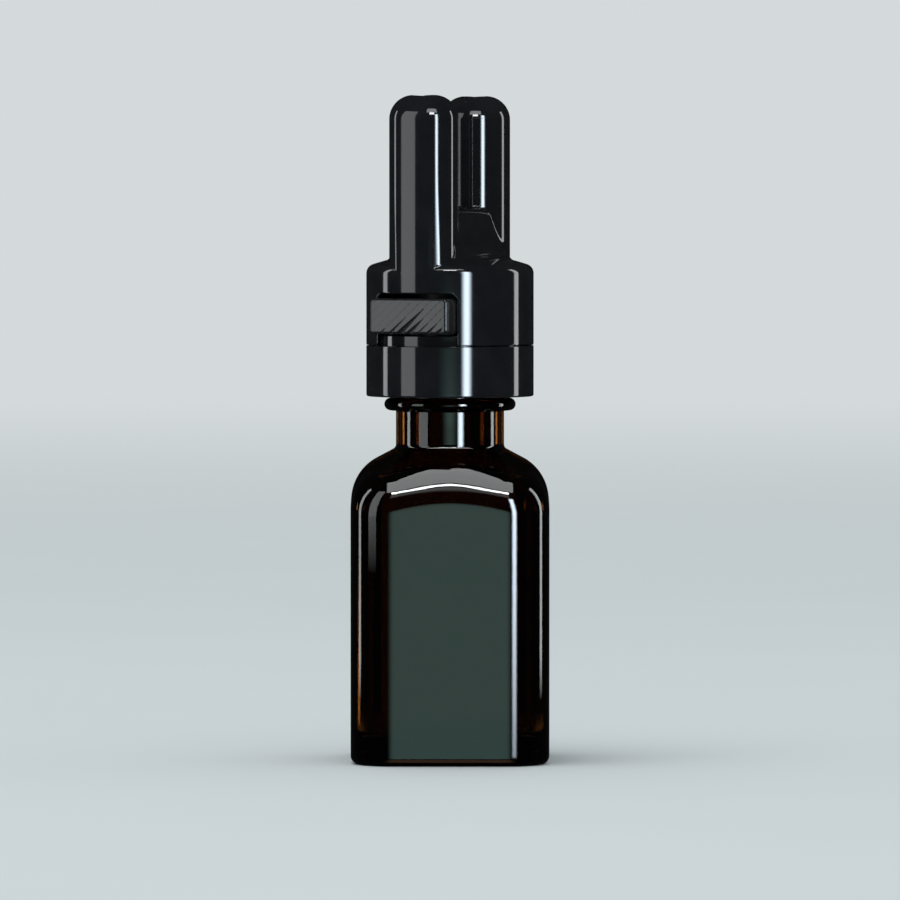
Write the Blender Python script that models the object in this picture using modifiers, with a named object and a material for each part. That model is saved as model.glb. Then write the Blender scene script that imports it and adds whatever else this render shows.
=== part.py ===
"""Sniffer bottle: a square amber glass bottle with a two-nostril valve cap.

Lengths are metres and Z is up. The bottle stands on z = 0 with its front face towards -Y.
The cap's pieces are placed with the push button facing -Y, under an empty that turns them
all about the bottle's axis. The button works a sliding valve that opens the bottle to the
two nose towers, and the screw collar draws the whole cap down on the bottle's neck.
"""

import math

import bmesh
import bpy

# Clearances and cutting
GAP = 0.00025
SEAL_GAP = 0.00015
CUT_OVERRUN = 0.0010
MERGE_DISTANCE = 0.00001

# Bottle body
BODY_WIDTH = 0.0288
BODY_CORNER_RADIUS = 0.0063
BODY_WALL = 0.0018
BASE_THICKNESS = 0.0030
HEEL_RADIUS = 0.0012
STANDING_RING_WIDTH = 0.0030
PUSH_UP_HEIGHT = 0.0008
PUSH_UP_RAMP = 0.0015
SHOULDER_ANGLE = math.radians(28)
SHOULDER_RADIUS = 0.0070
INNER_HEEL_RADIUS = 0.0025

# Bottle neck
NECK_FOOT_HEIGHT = 0.04565
NECK_RADIUS = 0.00787
NECK_WALL = 0.00237
NECK_FOOT_RADIUS = 0.0008
BEAD_RISE = 0.0063
BEAD_STAND_OUT = 0.0017
BEAD_RADIUS = 0.0009
FINISH_HEIGHT = 0.00615
LIP_RADIUS = 0.0004

# Screw thread
THREAD_PITCH = 0.0030
THREAD_DEPTH = 0.0010
THREAD_ROOT_WIDTH = 0.0014
THREAD_CREST_WIDTH = 0.0006
THREAD_RADIAL_GAP = 0.0003
THREAD_START_RISE = 0.00135
THREAD_END_DROP = 0.0012
THREAD_BURY = 0.0003
THREAD_FADE_SHARE = 0.12
COLLAR_THREAD_RISE = 0.0008

# Screw collar
COLLAR_WALL = 0.00302
COLLAR_EDGE_RADIUS = 0.0003
SPIGOT_SET_BACK = 0.00082
SPIGOT_HEIGHT = 0.0016
DECK_THICKNESS = 0.0009
FLANGE_OVERLAP = 0.00137

# Gasket and valve body
GASKET_THICKNESS = 0.0007
FLANGE_THICKNESS = 0.0007
COLUMN_RADIUS = 0.0052
INLET_CHAMBER_RADIUS = 0.0040
INLET_ROOF_THICKNESS = 0.0012
DISC_THICKNESS = 0.0009
BOSS_WALL = 0.00085
BOSS_LEAD = 0.0009
OUTLET_SOCKET_DEPTH = 0.0020

# Head shell
HEAD_YAW = math.radians(-27.7)
SHELL_HEADROOM = 0.00175
SHELL_WALL = 0.0012
SHELL_ROOF = 0.0014
SHELL_EDGE_RADIUS = 0.0014
SHELL_CROWN_RADIUS = 0.036
SNAP_BEAD_DEPTH = 0.0004
SNAP_BEAD_HEIGHT = 0.00045

# Nose towers
TOWER_HEIGHT = 0.02445
TOWER_HALF_WIDTH = 0.0051
TOWER_CORNER_RADIUS = 0.0038
TOWER_TOP_LAND = 0.0003
TOWER_TOP_WALL = 0.0013
TOWER_SET_BACK = 0.00002
SADDLE_HEIGHT = 0.0082
SADDLE_HALF_WIDTH = 0.0036
SADDLE_EDGE_RADIUS = 0.0010
SADDLE_FOOT_HALF_WIDTH = 0.0051
SADDLE_FOOT_HEIGHT = 0.0016
OUTLET_RADIUS = 0.00175

# Push button in its window
WINDOW_HALF_WIDTH = 0.0065
WINDOW_CORNER_RADIUS = 0.0011
WINDOW_HEADROOM = 0.00065
BUTTON_SIDE_GAP = 0.00015
BUTTON_HEIGHT = 0.00515
BUTTON_STAND_OUT = 0.00091
BUTTON_FACE_THICKNESS = 0.0012
BUTTON_WALL = 0.0008
BUTTON_EDGE_RADIUS = 0.00045
BUTTON_CORNER_RADIUS = 0.0007
BUTTON_SKIRT_LENGTH = 0.0029
EAR_WIDTH = 0.0009
EAR_THICKNESS = 0.0008
BUTTON_TRAVEL = 0.0018
SOCKET_WALL = 0.00065
SOCKET_LENGTH = 0.0027
GROOVE_PITCH = 0.00135
GROOVE_DEPTH = 0.00022
GROOVE_ANGLE = math.radians(45)

# Valve spool, seals and spring
SPOOL_RADIUS = 0.00145
SPOOL_STEM_RADIUS = 0.0011
SPOOL_NECK_RADIUS = 0.0008
SPOOL_GROOVE_RADIUS = 0.00085
SEAL_SPACING = 0.0042
SEAL_SECTION_RADIUS = 0.0003
LAND_HALF_LENGTH = 0.0009
SPRING_SEAT_RADIUS = 0.0007
SPRING_SEAT_LENGTH = 0.0006
SPRING_MEAN_RADIUS = 0.00115
SPRING_WIRE_RADIUS = 0.00015
SPRING_TURNS = 4.5
PLUG_LENGTH = 0.00105
PLUG_FLANGE_RADIUS = 0.0022
PLUG_FLANGE_THICKNESS = 0.0004

# Manifold, tubes and outlet sleeves
MANIFOLD_HALF_WIDTH = 0.0019
MANIFOLD_HEIGHT = 0.0029
MANIFOLD_CHANNEL_RADIUS = 0.0008
MANIFOLD_CUP_HEIGHT = 0.0043
MANIFOLD_CUP_WALL = 0.00085
SPIGOT_TUBE_RADIUS = 0.00115
SPIGOT_BORE_RADIUS = 0.0006
TUBE_RADIUS = 0.0019
TUBE_WALL = 0.0006
TUBE_SOCKET_DEPTH = 0.0016
SLEEVE_WALL = 0.00045
SLEEVE_GRIP = 0.0014
SLEEVE_CONE_HEIGHT = 0.0012
SLEEVE_FLOOR = 0.0011
NIPPLE_WALL = 0.0004
NIPPLE_SET_BACK = 0.0002

# Facet counts
ROUND_STEPS = 48
SMALL_STEPS = 16
ARC_STEPS = 5
BODY_CORNER_STEPS = 6
BODY_FACE_STEPS = 6
THREAD_STEPS = 24
SPRING_STEPS = 10

# Heights worked out from the sizes above
BEAD_HEIGHT = NECK_FOOT_HEIGHT + BEAD_RISE
BEAD_TOP = BEAD_HEIGHT + BEAD_RADIUS
MOUTH_HEIGHT = BEAD_TOP + FINISH_HEIGHT
GASKET_BOTTOM = MOUTH_HEIGHT + GAP
FLANGE_BOTTOM = GASKET_BOTTOM + GASKET_THICKNESS + GAP
FLANGE_TOP = FLANGE_BOTTOM + FLANGE_THICKNESS
DECK_BOTTOM = FLANGE_TOP + GAP
DECK_TOP = DECK_BOTTOM + DECK_THICKNESS
COLLAR_BOTTOM = BEAD_TOP + GAP
COLLAR_SKIRT_TOP = DECK_TOP - SPIGOT_HEIGHT
SHELL_BOTTOM = COLLAR_SKIRT_TOP + GAP
BUTTON_BOTTOM = DECK_TOP + GAP
BUTTON_TOP = BUTTON_BOTTOM + BUTTON_HEIGHT
WINDOW_TOP = BUTTON_TOP + WINDOW_HEADROOM
VALVE_HEIGHT = (BUTTON_BOTTOM + BUTTON_TOP) / 2
DISC_BOTTOM = WINDOW_TOP + GAP
DISC_TOP = DISC_BOTTOM + DISC_THICKNESS
MANIFOLD_BOTTOM = DISC_TOP + GAP
CAVITY_TOP = DISC_TOP + SHELL_HEADROOM
SHELL_TOP = CAVITY_TOP + SHELL_ROOF
TOWER_TOP = SHELL_TOP + TOWER_HEIGHT

# Radii and reaches worked out from the sizes above
NECK_BORE_RADIUS = NECK_RADIUS - NECK_WALL
DECK_BORE_RADIUS = NECK_RADIUS - FLANGE_OVERLAP
THREAD_TURNS = (FINISH_HEIGHT - THREAD_START_RISE - THREAD_END_DROP) / THREAD_PITCH
THREAD_BORE_RADIUS = NECK_RADIUS + THREAD_DEPTH + THREAD_RADIAL_GAP
CAP_RADIUS = THREAD_BORE_RADIUS + COLLAR_WALL
SPIGOT_RADIUS = CAP_RADIUS - SPIGOT_SET_BACK
SHELL_INNER_RADIUS = CAP_RADIUS - SHELL_WALL
DISC_RADIUS = SHELL_INNER_RADIUS - GAP
BORE_RADIUS = SPOOL_RADIUS + GAP
BOSS_RADIUS = BORE_RADIUS + BOSS_WALL
PORT_RADIUS = BUTTON_TRAVEL / 2 - SEAL_SECTION_RADIUS
INLET_SETBACK = BUTTON_TRAVEL / 2
OUTLET_FORWARD = SEAL_SPACING - BUTTON_TRAVEL - PORT_RADIUS - 2 * SEAL_SECTION_RADIUS
OUTLET_SOCKET_RADIUS = SPIGOT_TUBE_RADIUS + 2 * SEAL_SECTION_RADIUS + 2 * SEAL_GAP
LAND_REACH = SEAL_SPACING + LAND_HALF_LENGTH
BOSS_FRONT_REACH = LAND_REACH + BOSS_LEAD
PLUG_REAR_REACH = math.sqrt(DISC_RADIUS ** 2 - PLUG_FLANGE_RADIUS ** 2)
BOSS_REAR_REACH = PLUG_REAR_REACH - PLUG_FLANGE_THICKNESS - GAP
TOWER_TOP_RADIUS = TOWER_CORNER_RADIUS - TOWER_TOP_LAND
TOWER_RADIUS = CAP_RADIUS - TOWER_SET_BACK
TOWER_CENTRE = math.sqrt((TOWER_RADIUS - TOWER_CORNER_RADIUS) ** 2
                         - (TOWER_HALF_WIDTH - TOWER_CORNER_RADIUS) ** 2)
TUBE_CENTRE = (TOWER_CENTRE - TOWER_HALF_WIDTH + TOWER_RADIUS) / 2
BUTTON_HALF_WIDTH = WINDOW_HALF_WIDTH - BUTTON_SIDE_GAP
EAR_HALF_WIDTH = BUTTON_HALF_WIDTH + EAR_WIDTH
EAR_FRONT_REACH = math.sqrt(SHELL_INNER_RADIUS ** 2 - EAR_HALF_WIDTH ** 2) - GAP
BUTTON_REAR_REACH = EAR_FRONT_REACH - EAR_THICKNESS
BUTTON_FACE_REACH = CAP_RADIUS + BUTTON_STAND_OUT
BUTTON_INNER_REACH = BUTTON_FACE_REACH - BUTTON_FACE_THICKNESS
BUTTON_SKIRT_REACH = BUTTON_INNER_REACH - BUTTON_SKIRT_LENGTH
SOCKET_REACH = BUTTON_INNER_REACH - SOCKET_LENGTH
SOCKET_RADIUS = SPOOL_STEM_RADIUS + GAP
STEM_REACH = BUTTON_INNER_REACH - SOCKET_WALL
TUBE_BORE_RADIUS = TUBE_RADIUS - TUBE_WALL
TUBE_SOCKET_RADIUS = TUBE_RADIUS + GAP
TUBE_BOTTOM = MANIFOLD_BOTTOM + MANIFOLD_CUP_HEIGHT - TUBE_SOCKET_DEPTH + GAP
SLEEVE_TOP = TOWER_TOP - TOWER_TOP_WALL - GAP
NIPPLE_RADIUS = OUTLET_RADIUS - GAP
TUBE_TOP = SLEEVE_TOP - SLEEVE_FLOOR - GAP


def clear_scene():
    """Remove what the file starts with."""
    for old in list(bpy.data.objects):
        bpy.data.objects.remove(old, do_unlink=True)
    for old in list(bpy.data.collections):
        bpy.data.collections.remove(old)


def make_collection(name):
    collection = bpy.data.collections.new(name)
    bpy.context.scene.collection.children.link(collection)
    return collection


def make_material(name, colour, roughness, metallic=0.0, transmission=0.0):
    """One Principled material with the piece's colour."""
    material = bpy.data.materials.new(name)
    material.use_nodes = True
    shader = material.node_tree.nodes["Principled BSDF"]
    shader.inputs["Base Color"].default_value = (*colour, 1.0)
    shader.inputs["Roughness"].default_value = roughness
    shader.inputs["Metallic"].default_value = metallic
    shader.inputs["Transmission Weight"].default_value = transmission
    material.diffuse_color = (*colour, 1.0)
    return material


def add_object(name, mesh, collection, parent=None, location=(0, 0, 0), rotation=(0, 0, 0)):
    """Link a mesh as an object, placed under its parent."""
    thing = bpy.data.objects.new(name, mesh)
    collection.objects.link(thing)
    thing.parent = parent
    thing.location = location
    thing.rotation_euler = rotation
    return thing


def finish_cutter(thing):
    """Cutters and joined forms are guides: drawn as wire and never rendered."""
    thing.hide_render = True
    thing.display_type = "WIRE"
    return thing


def finish_part(thing, material):
    """Give a sub-part its material and smooth shading with sharp edges kept."""
    thing.data.materials.append(material)
    thing.data.shade_smooth()
    thing.data.set_sharp_from_angle(angle=math.radians(35))
    return thing


def add_boolean(thing, other, operation):
    """Cut another object from this one, or join it on."""
    modifier = thing.modifiers.new(other.name, "BOOLEAN")
    modifier.operation = operation
    modifier.solver = "EXACT"
    modifier.object = other


def arc_points(centre_x, centre_y, radius, start, end, steps=ARC_STEPS):
    """Points on an arc, both ends included."""
    points = []
    for step in range(steps + 1):
        angle = start + (end - start) * step / steps
        points.append((centre_x + radius * math.cos(angle), centre_y + radius * math.sin(angle)))
    return points


def turned_mesh(name, profile, closed=True):
    """The half section of a turned shape, as edges in the XZ plane.

    The profile is listed down its outer side first. An open one starts and ends on the axis.
    """
    mesh = bpy.data.meshes.new(name)
    edges = [(i, i + 1) for i in range(len(profile) - 1)]
    if closed:
        edges.append((len(profile) - 1, 0))
    mesh.from_pydata([(radius, 0, height) for radius, height in profile], edges, [])
    return mesh


def turned(name, profile, collection, steps, closed=True, **place):
    """A turned piece: its half section with a Screw modifier."""
    thing = add_object(name, turned_mesh(name, profile, closed), collection, **place)
    screw = thing.modifiers.new("turn", "SCREW")
    screw.steps = steps
    screw.render_steps = steps
    screw.use_merge_vertices = True
    screw.merge_threshold = MERGE_DISTANCE
    screw.use_normal_calculate = False
    return thing


def box_mesh(name, low, high):
    """A box between two corners."""
    shape = bmesh.new()
    bmesh.ops.create_cube(shape, size=1)
    for vertex in shape.verts:
        for axis in range(3):
            middle = (low[axis] + high[axis]) / 2
            vertex.co[axis] = middle + vertex.co[axis] * (high[axis] - low[axis])
    mesh = bpy.data.meshes.new(name)
    shape.to_mesh(mesh)
    shape.free()
    return mesh


def rounded_box_mesh(name, low, high, radius, is_rounded, steps=ARC_STEPS):
    """A box with some of its edges rounded: is_rounded tests an edge's two ends."""
    mesh = box_mesh(name, low, high)
    shape = bmesh.new()
    shape.from_mesh(mesh)
    edges = [edge for edge in shape.edges if is_rounded(edge.verts[0].co, edge.verts[1].co)]
    bmesh.ops.bevel(shape, geom=edges, offset=radius, segments=steps, profile=0.5, affect="EDGES")
    shape.to_mesh(mesh)
    shape.free()
    return mesh


def prism_mesh(name, outline, low, high):
    """A flat outline in the XY plane, drawn out between two heights."""
    shape = bmesh.new()
    base = shape.faces.new([shape.verts.new((x, y, low)) for x, y in outline])
    drawn = bmesh.ops.extrude_face_region(shape, geom=[base])["geom"]
    for item in drawn:
        if isinstance(item, bmesh.types.BMVert):
            item.co.z = high
    bmesh.ops.recalc_face_normals(shape, faces=shape.faces)
    mesh = bpy.data.meshes.new(name)
    shape.to_mesh(mesh)
    shape.free()
    return mesh


def cylinder_mesh(name, radius, low, high, steps=SMALL_STEPS):
    """A plain cylinder about its own Z axis, between two heights."""
    shape = bmesh.new()
    bmesh.ops.create_cone(shape, cap_ends=True, segments=steps, radius1=radius, radius2=radius,
                          depth=high - low)
    bmesh.ops.translate(shape, verts=shape.verts, vec=(0, 0, (low + high) / 2))
    mesh = bpy.data.meshes.new(name)
    shape.to_mesh(mesh)
    shape.free()
    return mesh


# Bottle

def square_reach(angle, half_width, corner_radius):
    """Distance from the axis to a rounded square's outline, in one direction."""
    quarter = math.pi / 2
    turn = abs((angle + quarter / 2) % quarter - quarter / 2)
    flat = half_width - corner_radius
    if math.tan(turn) <= flat / half_width:
        return half_width / math.cos(turn)
    along = flat * (math.cos(turn) + math.sin(turn))
    return along + math.sqrt(corner_radius ** 2 - 2 * flat ** 2 + along ** 2)


def bottle_directions():
    """Directions of the bottle's columns of points, closer together round the corners."""
    half = BODY_WIDTH / 2
    flat = half - BODY_CORNER_RADIUS
    face_edge = math.atan2(flat, half)
    quarter = [face_edge * (2 * step / BODY_FACE_STEPS - 1) for step in range(BODY_FACE_STEPS)]
    for step in range(BODY_CORNER_STEPS):
        turn = math.pi / 2 * step / BODY_CORNER_STEPS
        quarter.append(math.atan2(flat + BODY_CORNER_RADIUS * math.sin(turn),
                                  flat + BODY_CORNER_RADIUS * math.cos(turn)))
    return [angle + side * math.pi / 2 for side in range(4) for angle in quarter]


def shoulder_points(reach, neck_radius, neck_foot, fillet):
    """The shoulder in one direction: from the upright wall, round the fillet, up the slope."""
    corner = neck_foot - (reach - neck_radius) * math.tan(SHOULDER_ANGLE)
    turn = math.pi / 2 - SHOULDER_ANGLE
    drop = fillet * math.tan(turn / 2)
    return arc_points(reach - fillet, corner - drop, fillet, 0, turn)


def neck_foot_points():
    """The hollow fillet where the shoulder's slope meets the neck."""
    turn = math.pi / 2 - SHOULDER_ANGLE
    rise = NECK_FOOT_RADIUS * math.tan(turn / 2)
    return arc_points(NECK_RADIUS + NECK_FOOT_RADIUS, NECK_FOOT_HEIGHT + rise, NECK_FOOT_RADIUS,
                      math.pi + turn, math.pi, steps=2)


def bead_points():
    """The half round bead below the collar."""
    centre = NECK_RADIUS + BEAD_STAND_OUT - BEAD_RADIUS
    bead = arc_points(centre, BEAD_HEIGHT, BEAD_RADIUS, -math.pi / 2, math.pi / 2, steps=6)
    return [(NECK_RADIUS, BEAD_HEIGHT - BEAD_RADIUS), *bead, (NECK_RADIUS, BEAD_TOP)]


def lip_points():
    """The mouth's outer and inner rounded edges, then the bore."""
    height = MOUTH_HEIGHT - LIP_RADIUS
    outer = arc_points(NECK_RADIUS - LIP_RADIUS, height, LIP_RADIUS, 0, math.pi / 2, steps=2)
    inner = arc_points(NECK_BORE_RADIUS + LIP_RADIUS, height, LIP_RADIUS, math.pi / 2, math.pi, steps=2)
    return outer + inner


def bottle_column(angle):
    """Every point of the glass in one direction, from under the base to the inner floor."""
    half = BODY_WIDTH / 2
    outer = square_reach(angle, half, BODY_CORNER_RADIUS)

    def inset_reach(inset):
        return square_reach(angle, half - inset, BODY_CORNER_RADIUS - inset)

    ring_outside = inset_reach(HEEL_RADIUS)
    ring_inside = outer * (1 - (HEEL_RADIUS + STANDING_RING_WIDTH) / half)
    ramp_top = outer * (1 - (HEEL_RADIUS + STANDING_RING_WIDTH + PUSH_UP_RAMP) / half)
    heel = arc_points(0, HEEL_RADIUS, HEEL_RADIUS, -math.pi / 2, 0, steps=3)
    column = [(ramp_top, PUSH_UP_HEIGHT), (ring_inside, 0)]
    column += [(ring_outside + (outer - ring_outside) * x / HEEL_RADIUS, z) for x, z in heel]
    column += shoulder_points(outer, NECK_RADIUS, NECK_FOOT_HEIGHT, SHOULDER_RADIUS)
    column += neck_foot_points() + bead_points() + lip_points()

    inner = inset_reach(BODY_WALL)
    inner_foot = (NECK_FOOT_HEIGHT + (NECK_RADIUS - NECK_BORE_RADIUS) * math.tan(SHOULDER_ANGLE)
                  - BODY_WALL / math.cos(SHOULDER_ANGLE))
    column.append((NECK_BORE_RADIUS, inner_foot))
    shoulder = shoulder_points(inner, NECK_BORE_RADIUS, inner_foot, SHOULDER_RADIUS - BODY_WALL)
    column += reversed(shoulder)
    heel_reach = inner * (1 - INNER_HEEL_RADIUS / (half - BODY_WALL))
    inner_heel = arc_points(0, BASE_THICKNESS + INNER_HEEL_RADIUS, INNER_HEEL_RADIUS, 0,
                            -math.pi / 2, steps=3)
    column += [(heel_reach + (inner - heel_reach) * x / INNER_HEEL_RADIUS, z) for x, z in inner_heel]
    return column


def bottle_mesh():
    """The glass as a loft: round at the neck, a rounded square at the body."""
    shape = bmesh.new()
    columns = []
    for angle in bottle_directions():
        side, front = math.cos(angle), math.sin(angle)
        columns.append([shape.verts.new((r * side, r * front, z)) for r, z in bottle_column(angle)])
    for i, column in enumerate(columns):
        following = columns[(i + 1) % len(columns)]
        for j in range(len(column) - 1):
            shape.faces.new((column[j], following[j], following[j + 1], column[j + 1]))
    shape.faces.new([column[0] for column in reversed(columns)])
    shape.faces.new([column[-1] for column in columns])
    bmesh.ops.recalc_face_normals(shape, faces=shape.faces)
    mesh = bpy.data.meshes.new("glass_bottle")
    shape.to_mesh(mesh)
    shape.free()
    return mesh


def thread_mesh(name, wall_radius, outward, first_angle, first_height):
    """A helical ridge on a round wall, fading in and out at its ends."""
    shape = bmesh.new()
    steps = round(THREAD_TURNS * THREAD_STEPS)
    root_half = THREAD_ROOT_WIDTH / 2
    crest_half = THREAD_CREST_WIDTH / 2
    rings = []
    for step in range(steps + 1):
        share = step / steps
        full = min(1, share / THREAD_FADE_SHARE, (1 - share) / THREAD_FADE_SHARE)
        turn = 2 * math.pi * THREAD_TURNS * share
        height = first_height + THREAD_PITCH * THREAD_TURNS * share
        root = wall_radius - outward * THREAD_BURY
        crest = wall_radius + outward * (THREAD_DEPTH * full - THREAD_BURY / 2 * (1 - full))
        section = [(root, -root_half), (crest, -crest_half), (crest, crest_half), (root, root_half)]
        angle = first_angle + turn
        rings.append([shape.verts.new((r * math.cos(angle), r * math.sin(angle), height + z))
                      for r, z in section])
    for ring, following in zip(rings, rings[1:]):
        for k in range(4):
            shape.faces.new((ring[k], ring[(k + 1) % 4], following[(k + 1) % 4], following[k]))
    shape.faces.new(rings[0])
    shape.faces.new(list(reversed(rings[-1])))
    bmesh.ops.recalc_face_normals(shape, faces=shape.faces)
    mesh = bpy.data.meshes.new(name)
    shape.to_mesh(mesh)
    shape.free()
    return mesh


def make_glass_bottle(parts, guides):
    bottle = add_object("glass_bottle", bottle_mesh(), parts)
    ridge = thread_mesh("bottle_thread", NECK_RADIUS, 1, 0, BEAD_TOP + THREAD_START_RISE)
    add_boolean(bottle, finish_cutter(add_object("bottle_thread", ridge, guides)), "UNION")
    glass = make_material("amber_glass", (0.23, 0.07, 0.02), 0.03, transmission=1.0)
    return finish_part(bottle, glass)


# Collar, gasket and valve body

def make_screw_collar(parts, guides):
    """The turning collar: a skirt, a spigot that centres the shell, and an inner deck."""
    edge = COLLAR_EDGE_RADIUS
    profile = [(DECK_BORE_RADIUS, DECK_TOP), (SPIGOT_RADIUS, DECK_TOP),
               (SPIGOT_RADIUS, COLLAR_SKIRT_TOP)]
    profile += arc_points(CAP_RADIUS - edge, COLLAR_SKIRT_TOP - edge, edge, math.pi / 2, 0, steps=2)
    profile += arc_points(CAP_RADIUS - edge, COLLAR_BOTTOM + edge, edge, 0, -math.pi / 2, steps=2)
    profile += [(THREAD_BORE_RADIUS, COLLAR_BOTTOM), (THREAD_BORE_RADIUS, DECK_BOTTOM)]
    profile.append((DECK_BORE_RADIUS, DECK_BOTTOM))
    local = [(radius, height - COLLAR_BOTTOM) for radius, height in profile]
    collar = turned("screw_collar", local, parts, ROUND_STEPS, location=(0, 0, COLLAR_BOTTOM))

    flank_width = THREAD_ROOT_WIDTH - ((THREAD_ROOT_WIDTH - THREAD_CREST_WIDTH)
                                       * (THREAD_DEPTH + THREAD_RADIAL_GAP) / THREAD_DEPTH / 2)
    below_bottle_ridge = flank_width + GAP
    rise = COLLAR_BOTTOM + COLLAR_THREAD_RISE + below_bottle_ridge - BEAD_TOP - THREAD_START_RISE
    ridge = thread_mesh("collar_thread", THREAD_BORE_RADIUS, -1, 2 * math.pi * rise / THREAD_PITCH,
                        COLLAR_THREAD_RISE)
    guide = add_object("collar_thread", ridge, guides, location=(0, 0, COLLAR_BOTTOM))
    add_boolean(collar, finish_cutter(guide), "UNION")
    return finish_part(collar, make_material("black_collar", (0.012, 0.013, 0.015), 0.08))


def make_neck_gasket(parts, head):
    profile = [(NECK_BORE_RADIUS, GASKET_THICKNESS), (NECK_RADIUS, GASKET_THICKNESS),
               (NECK_RADIUS, 0), (NECK_BORE_RADIUS, 0)]
    gasket = turned("neck_gasket", profile, parts, ROUND_STEPS, parent=head,
                    location=(0, 0, GASKET_BOTTOM))
    return finish_part(gasket, make_material("pale_seal", (0.62, 0.60, 0.55), 0.55))


def make_valve_body(parts, guides, head):
    """The block that the collar clamps: flange, column, cross boss and locating disc."""
    neck_radius = DECK_BORE_RADIUS - GAP
    profile = [(0, DISC_TOP), (DISC_RADIUS, DISC_TOP), (DISC_RADIUS, DISC_BOTTOM),
               (COLUMN_RADIUS, DISC_BOTTOM), (COLUMN_RADIUS, BUTTON_BOTTOM), (neck_radius, BUTTON_BOTTOM),
               (neck_radius, FLANGE_TOP), (NECK_RADIUS, FLANGE_TOP), (NECK_RADIUS, FLANGE_BOTTOM),
               (INLET_CHAMBER_RADIUS, FLANGE_BOTTOM),
               (INLET_CHAMBER_RADIUS, BUTTON_BOTTOM - INLET_ROOF_THICKNESS),
               (0, BUTTON_BOTTOM - INLET_ROOF_THICKNESS)]
    body = turned("valve_body", profile, parts, ROUND_STEPS, closed=False, parent=head)

    forward = (math.pi / 2, 0, 0)
    level = (0, 0, VALVE_HEIGHT)
    boss = cylinder_mesh("valve_boss", BOSS_RADIUS, -BOSS_REAR_REACH, BOSS_FRONT_REACH)
    add_boolean(body, finish_cutter(add_object("valve_boss", boss, guides, head, level, forward)), "UNION")
    bore = cylinder_mesh("valve_bore", BORE_RADIUS, -BOSS_REAR_REACH - CUT_OVERRUN,
                         BOSS_FRONT_REACH + CUT_OVERRUN)
    add_boolean(body, finish_cutter(add_object("valve_bore", bore, guides, head, level, forward)),
                "DIFFERENCE")

    socket_floor = DISC_TOP - OUTLET_SOCKET_DEPTH
    inlet = cylinder_mesh("inlet_port", PORT_RADIUS, FLANGE_BOTTOM, VALVE_HEIGHT)
    outlet = cylinder_mesh("outlet_port", PORT_RADIUS, VALVE_HEIGHT, socket_floor + CUT_OVERRUN)
    socket = cylinder_mesh("outlet_socket", OUTLET_SOCKET_RADIUS, socket_floor, DISC_TOP + CUT_OVERRUN)
    for mesh, shift in ((inlet, INLET_SETBACK), (outlet, -OUTLET_FORWARD), (socket, -OUTLET_FORWARD)):
        cutter = add_object(mesh.name, mesh, guides, head, (0, shift, 0))
        add_boolean(body, finish_cutter(cutter), "DIFFERENCE")
    return finish_part(body, make_material("valve_polymer", (0.55, 0.56, 0.55), 0.4))


# Head shell

def tower_outline(inset):
    """Section of the front tower, drawn in by an inset: flush with the cap outside, round inside."""
    radius = TOWER_RADIUS - inset
    half = TOWER_HALF_WIDTH - inset
    corner = TOWER_CORNER_RADIUS - inset
    corner_centre = TOWER_HALF_WIDTH - TOWER_CORNER_RADIUS
    lean = math.asin(corner_centre / (TOWER_RADIUS - TOWER_CORNER_RADIUS))
    down = -math.pi / 2
    outline = arc_points(0, 0, radius, down - lean, down + lean, steps=2)
    outline += arc_points(corner_centre, -TOWER_CENTRE, corner, down + lean, 0)[1:]
    outline += arc_points(0, -TOWER_CENTRE, half, 0, math.pi, steps=2 * ARC_STEPS)[1:]
    left_corner = arc_points(-corner_centre, -TOWER_CENTRE, corner, math.pi, 3 * math.pi / 2 - lean)
    return outline + left_corner[1:-1]


def tower_mesh(name, inset, low, high):
    """A tower, or the hollow in it: its outline drawn up, with a rounded top."""
    radius = TOWER_TOP_RADIUS - inset
    rings = [(0, low)]
    for x, z in arc_points(0, high - radius, radius, 0, math.pi / 2):
        rings.append((radius - x, z))
    shape = bmesh.new()
    loops = []
    for drawn_in, height in rings:
        outline = tower_outline(inset + drawn_in)
        loops.append([shape.verts.new((x, y, height)) for x, y in outline])
    for loop, following in zip(loops, loops[1:]):
        for k in range(len(loop)):
            after = (k + 1) % len(loop)
            shape.faces.new((loop[k], loop[after], following[after], following[k]))
    shape.faces.new(list(reversed(loops[0])))
    shape.faces.new(loops[-1])
    bmesh.ops.recalc_face_normals(shape, faces=shape.faces)
    mesh = bpy.data.meshes.new(name)
    shape.to_mesh(mesh)
    shape.free()
    return mesh


def saddle_outline():
    """Half section of the hump between the towers, from its sunk foot up to its top."""
    lean = math.atan2(SADDLE_FOOT_HALF_WIDTH - SADDLE_HALF_WIDTH, SADDLE_HEIGHT - SADDLE_FOOT_HEIGHT)
    edge = SADDLE_EDGE_RADIUS
    top = arc_points(SADDLE_HALF_WIDTH - edge, SADDLE_HEIGHT - edge, edge, lean, math.pi / 2, steps=4)
    foot = SADDLE_FOOT_HALF_WIDTH
    return [(foot, -SHELL_ROOF / 2), (foot, SADDLE_FOOT_HEIGHT)] + top


def saddle_mesh():
    """The hump, drawn out between the towers."""
    half = saddle_outline()
    outline = half + [(-x, z) for x, z in reversed(half)]
    return prism_mesh("saddle", outline, -TOWER_CENTRE, TOWER_CENTRE)


def saddle_hollow_mesh():
    """The hollow in the hump, which joins the hollows of the towers."""
    foot = SADDLE_FOOT_HALF_WIDTH - SHELL_WALL
    top = SADDLE_HALF_WIDTH - SHELL_WALL
    height = SADDLE_HEIGHT - SHELL_WALL
    low = -SHELL_ROOF - CUT_OVERRUN
    outline = [(foot, low), (foot, SADDLE_FOOT_HEIGHT), (top, height), (-top, height),
               (-foot, SADDLE_FOOT_HEIGHT), (-foot, low)]
    return prism_mesh("saddle_hollow", outline, -TOWER_CENTRE, TOWER_CENTRE)


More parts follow.
